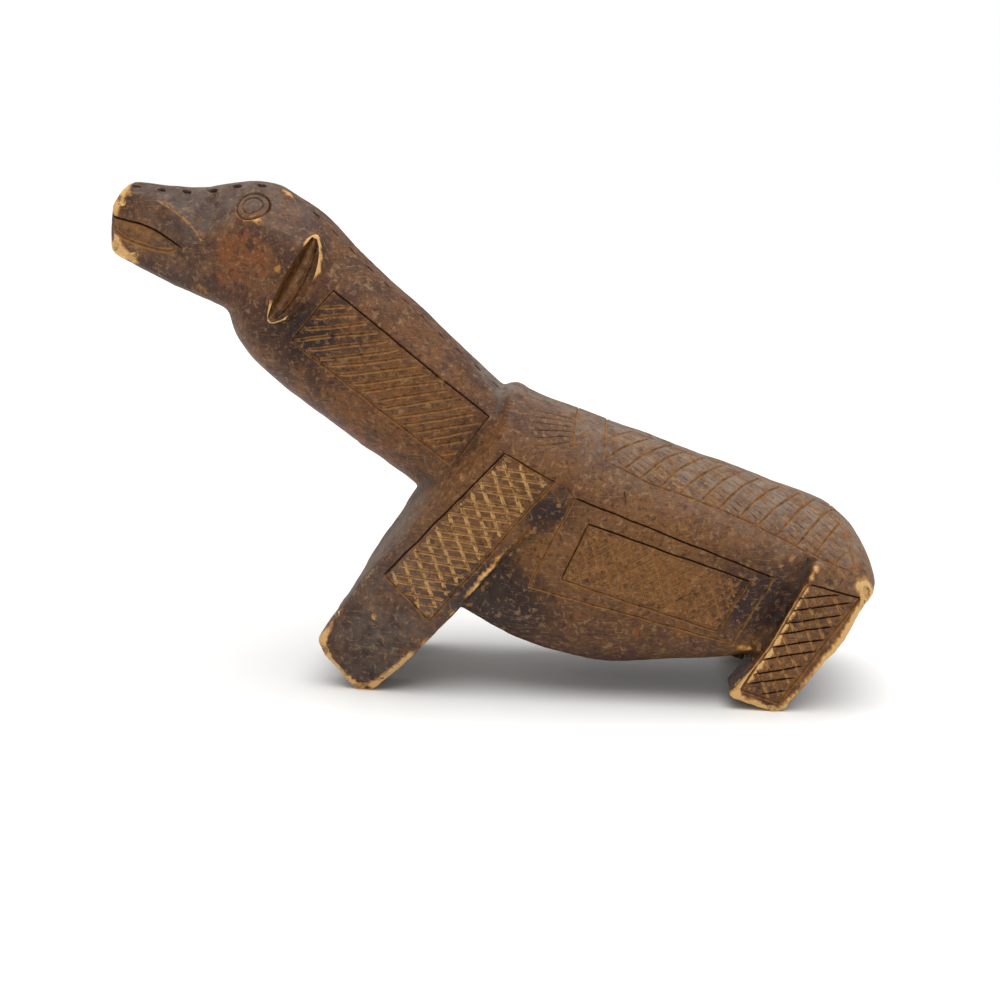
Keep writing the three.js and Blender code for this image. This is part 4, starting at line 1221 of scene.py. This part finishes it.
def ear_hollow(knife, side):
    fore = leaf(EAR_LOW, EAR_HIGH, EAR_FORE - EAR_FRONT_RIM, EAR_AFT - EAR_REAR_RIM)
    half = len(fore) // 2
    aft, fore = fore[:half + 1], [fore[0]] + fore[:half - 1:-1]
    rings = half - 1
    last = len(EAR_PROFILE) - 1

    def place(ring, side_index):
        step = ring + 1
        (x0, z0), (x1, z1) = fore[step], aft[step]
        narrow = min(1, math.dist(fore[step], aft[step]) / EAR_FULL_DEPTH_WIDTH)
        if side_index > last:
            share, depth = (1, -EAR_PROUD) if side_index == last + 1 else (0, -EAR_PROUD)
        else:
            share, depth = EAR_PROFILE[side_index]
            depth = depth * narrow
        x, z = x0 + (x1 - x0) * share, z0 + (z1 - z0) * share
        return x, side * (ear_face(z) - depth), z

    hollow = loft("ear_hollow", rings, last + 3, place)
    for step in range(2, rings, 2):
        (x0, z0), (x1, z1) = fore[step], aft[step]
        for share, _ in EAR_PROFILE[1:-1:2]:
            x, z = x0 + (x1 - x0) * share, z0 + (z1 - z0) * share
            knife.samples.append((Vector((x, side * (ear_face(z) - 2), z)), 0.3 * (share < 0.6), 0.15))
    return hollow


# Knocks
def chip_bowls(knife):
    bm = bmesh.new()
    for side in (-1, 1):
        for x, y, z, length, width, depth, slope, bare in CHIPS:
            if side == 1:
                x, z = x + knife.hand.uniform(-5, 5), z + knife.hand.uniform(-1, 3)
            at, up, *_ = knife.skin.find_nearest((x, side * y, z))
            along = Vector((math.cos(math.radians(slope)), 0, -math.sin(math.radians(slope))))
            along = (along - up * along.dot(up)).normalized()
            turn = Matrix((along, up.cross(along), up)).transposed().to_4x4()
            size = Matrix.Diagonal((length / 2, width / 2, depth, 1))
            shape = Matrix.Translation(at) @ turn @ size
            bmesh.ops.create_icosphere(bm, subdivisions=2, radius=1, matrix=shape)
            knife.samples.append((at - up * depth * 0.5, bare, 0.0))
            for share in (-0.7, 0.7):
                knife.samples.append((at + along * length / 2 * share, bare, 0.0))
    return blank("chips", bm)


# The figure, put together
figure = rough_figure()
dress(figure)
skin_points, skin_rise = tree_of([vert.co for vert in figure.data.vertices]), bend(figure.data)
knife = Knife(figure, seed=7)
for side in (-1, 1):
    engrave_panels(knife, side)
    engrave_band(knife, side)
    engrave_shoulder(knife, side)
    engrave_face(knife, side)
    carve(figure, ear_hollow(knife, side))
engrave_back(knife)
engrave_snout(knife)
carve(figure, chip_bowls(knife))
carve(figure, mane_notches(knife))
knife.cut(figure)
drop_strays(figure)
mark_cuts(figure.data, knife)
mark_wear(figure.data, skin_points, skin_rise)
mark_ground(figure.data)
figure.name = "carved_figure"
figure.data.transform(Matrix.Scale(MM, 4))
figure.data.shade_smooth()
figure.data.set_sharp_from_angle(angle=math.radians(40))
figure.data.materials.clear()
figure.data.materials.append(patinated_wood())

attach(figure, "root")
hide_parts(BLOCK)

# Floor, light and camera
floor_mesh = bmesh.new()
bmesh.ops.create_grid(floor_mesh, x_segments=1, y_segments=1, size=30)
floor = blank("floor", floor_mesh)
# Matt white paper, which shows only the figure's soft shadow
paper = bpy.data.materials.new("white_paper")
paper.use_nodes = True
paper.node_tree.nodes["Principled BSDF"].inputs["Base Color"].default_value = linear("#f2f2f0")
floor.data.materials.append(paper)

scene = bpy.context.scene
scene.view_settings.view_transform = "Standard"


def white_room():
    """A white backdrop to look at, which lights the figure less than the big lamp overhead does."""
    world = bpy.data.worlds.new("white_room")
    world.use_nodes = True
    tree = world.node_tree
    backdrop = tree.nodes["Background"]
    backdrop.inputs["Color"].default_value = linear("#ffffff")
    seen = add(tree, "LightPath", {}, "Is Camera Ray")
    strength = add(tree, "MapRange", {"Value": seen, "To Min": ROOM_LIGHT})
    tree.links.new(strength, backdrop.inputs["Strength"])
    scene.world = world


def overhead_lamp():
    light = bpy.data.lights.new("overhead", "SUN")
    light.energy = SKY_LIGHT * math.pi
    light.angle = SKY_SOFTNESS
    holder = bpy.data.objects.new("overhead", light)
    holder.rotation_euler = Vector(SKY_PLACE).to_track_quat("Z", "Y").to_euler()
    scene.collection.objects.link(holder)


def camera():
    lens = bpy.data.cameras.new("camera")
    lens.sensor_width = SENSOR
    lens.lens = SENSOR * FOCAL_SHARE
    holder = bpy.data.objects.new("camera", lens)
    back = Vector((math.sin(CAMERA_TURN) * math.cos(CAMERA_ELEVATION),
                   -math.cos(CAMERA_TURN) * math.cos(CAMERA_ELEVATION), math.sin(CAMERA_ELEVATION)))
    turn = back.to_track_quat("Z", "Y").to_matrix().to_4x4()
    holder.matrix_world = (Matrix.Translation(CAMERA_AIM + back * CAMERA_DISTANCE) @ turn
                           @ Matrix.Rotation(CAMERA_ROLL, 4, "Z"))
    scene.collection.objects.link(holder)
    scene.camera = holder


white_room()
overhead_lamp()
camera()
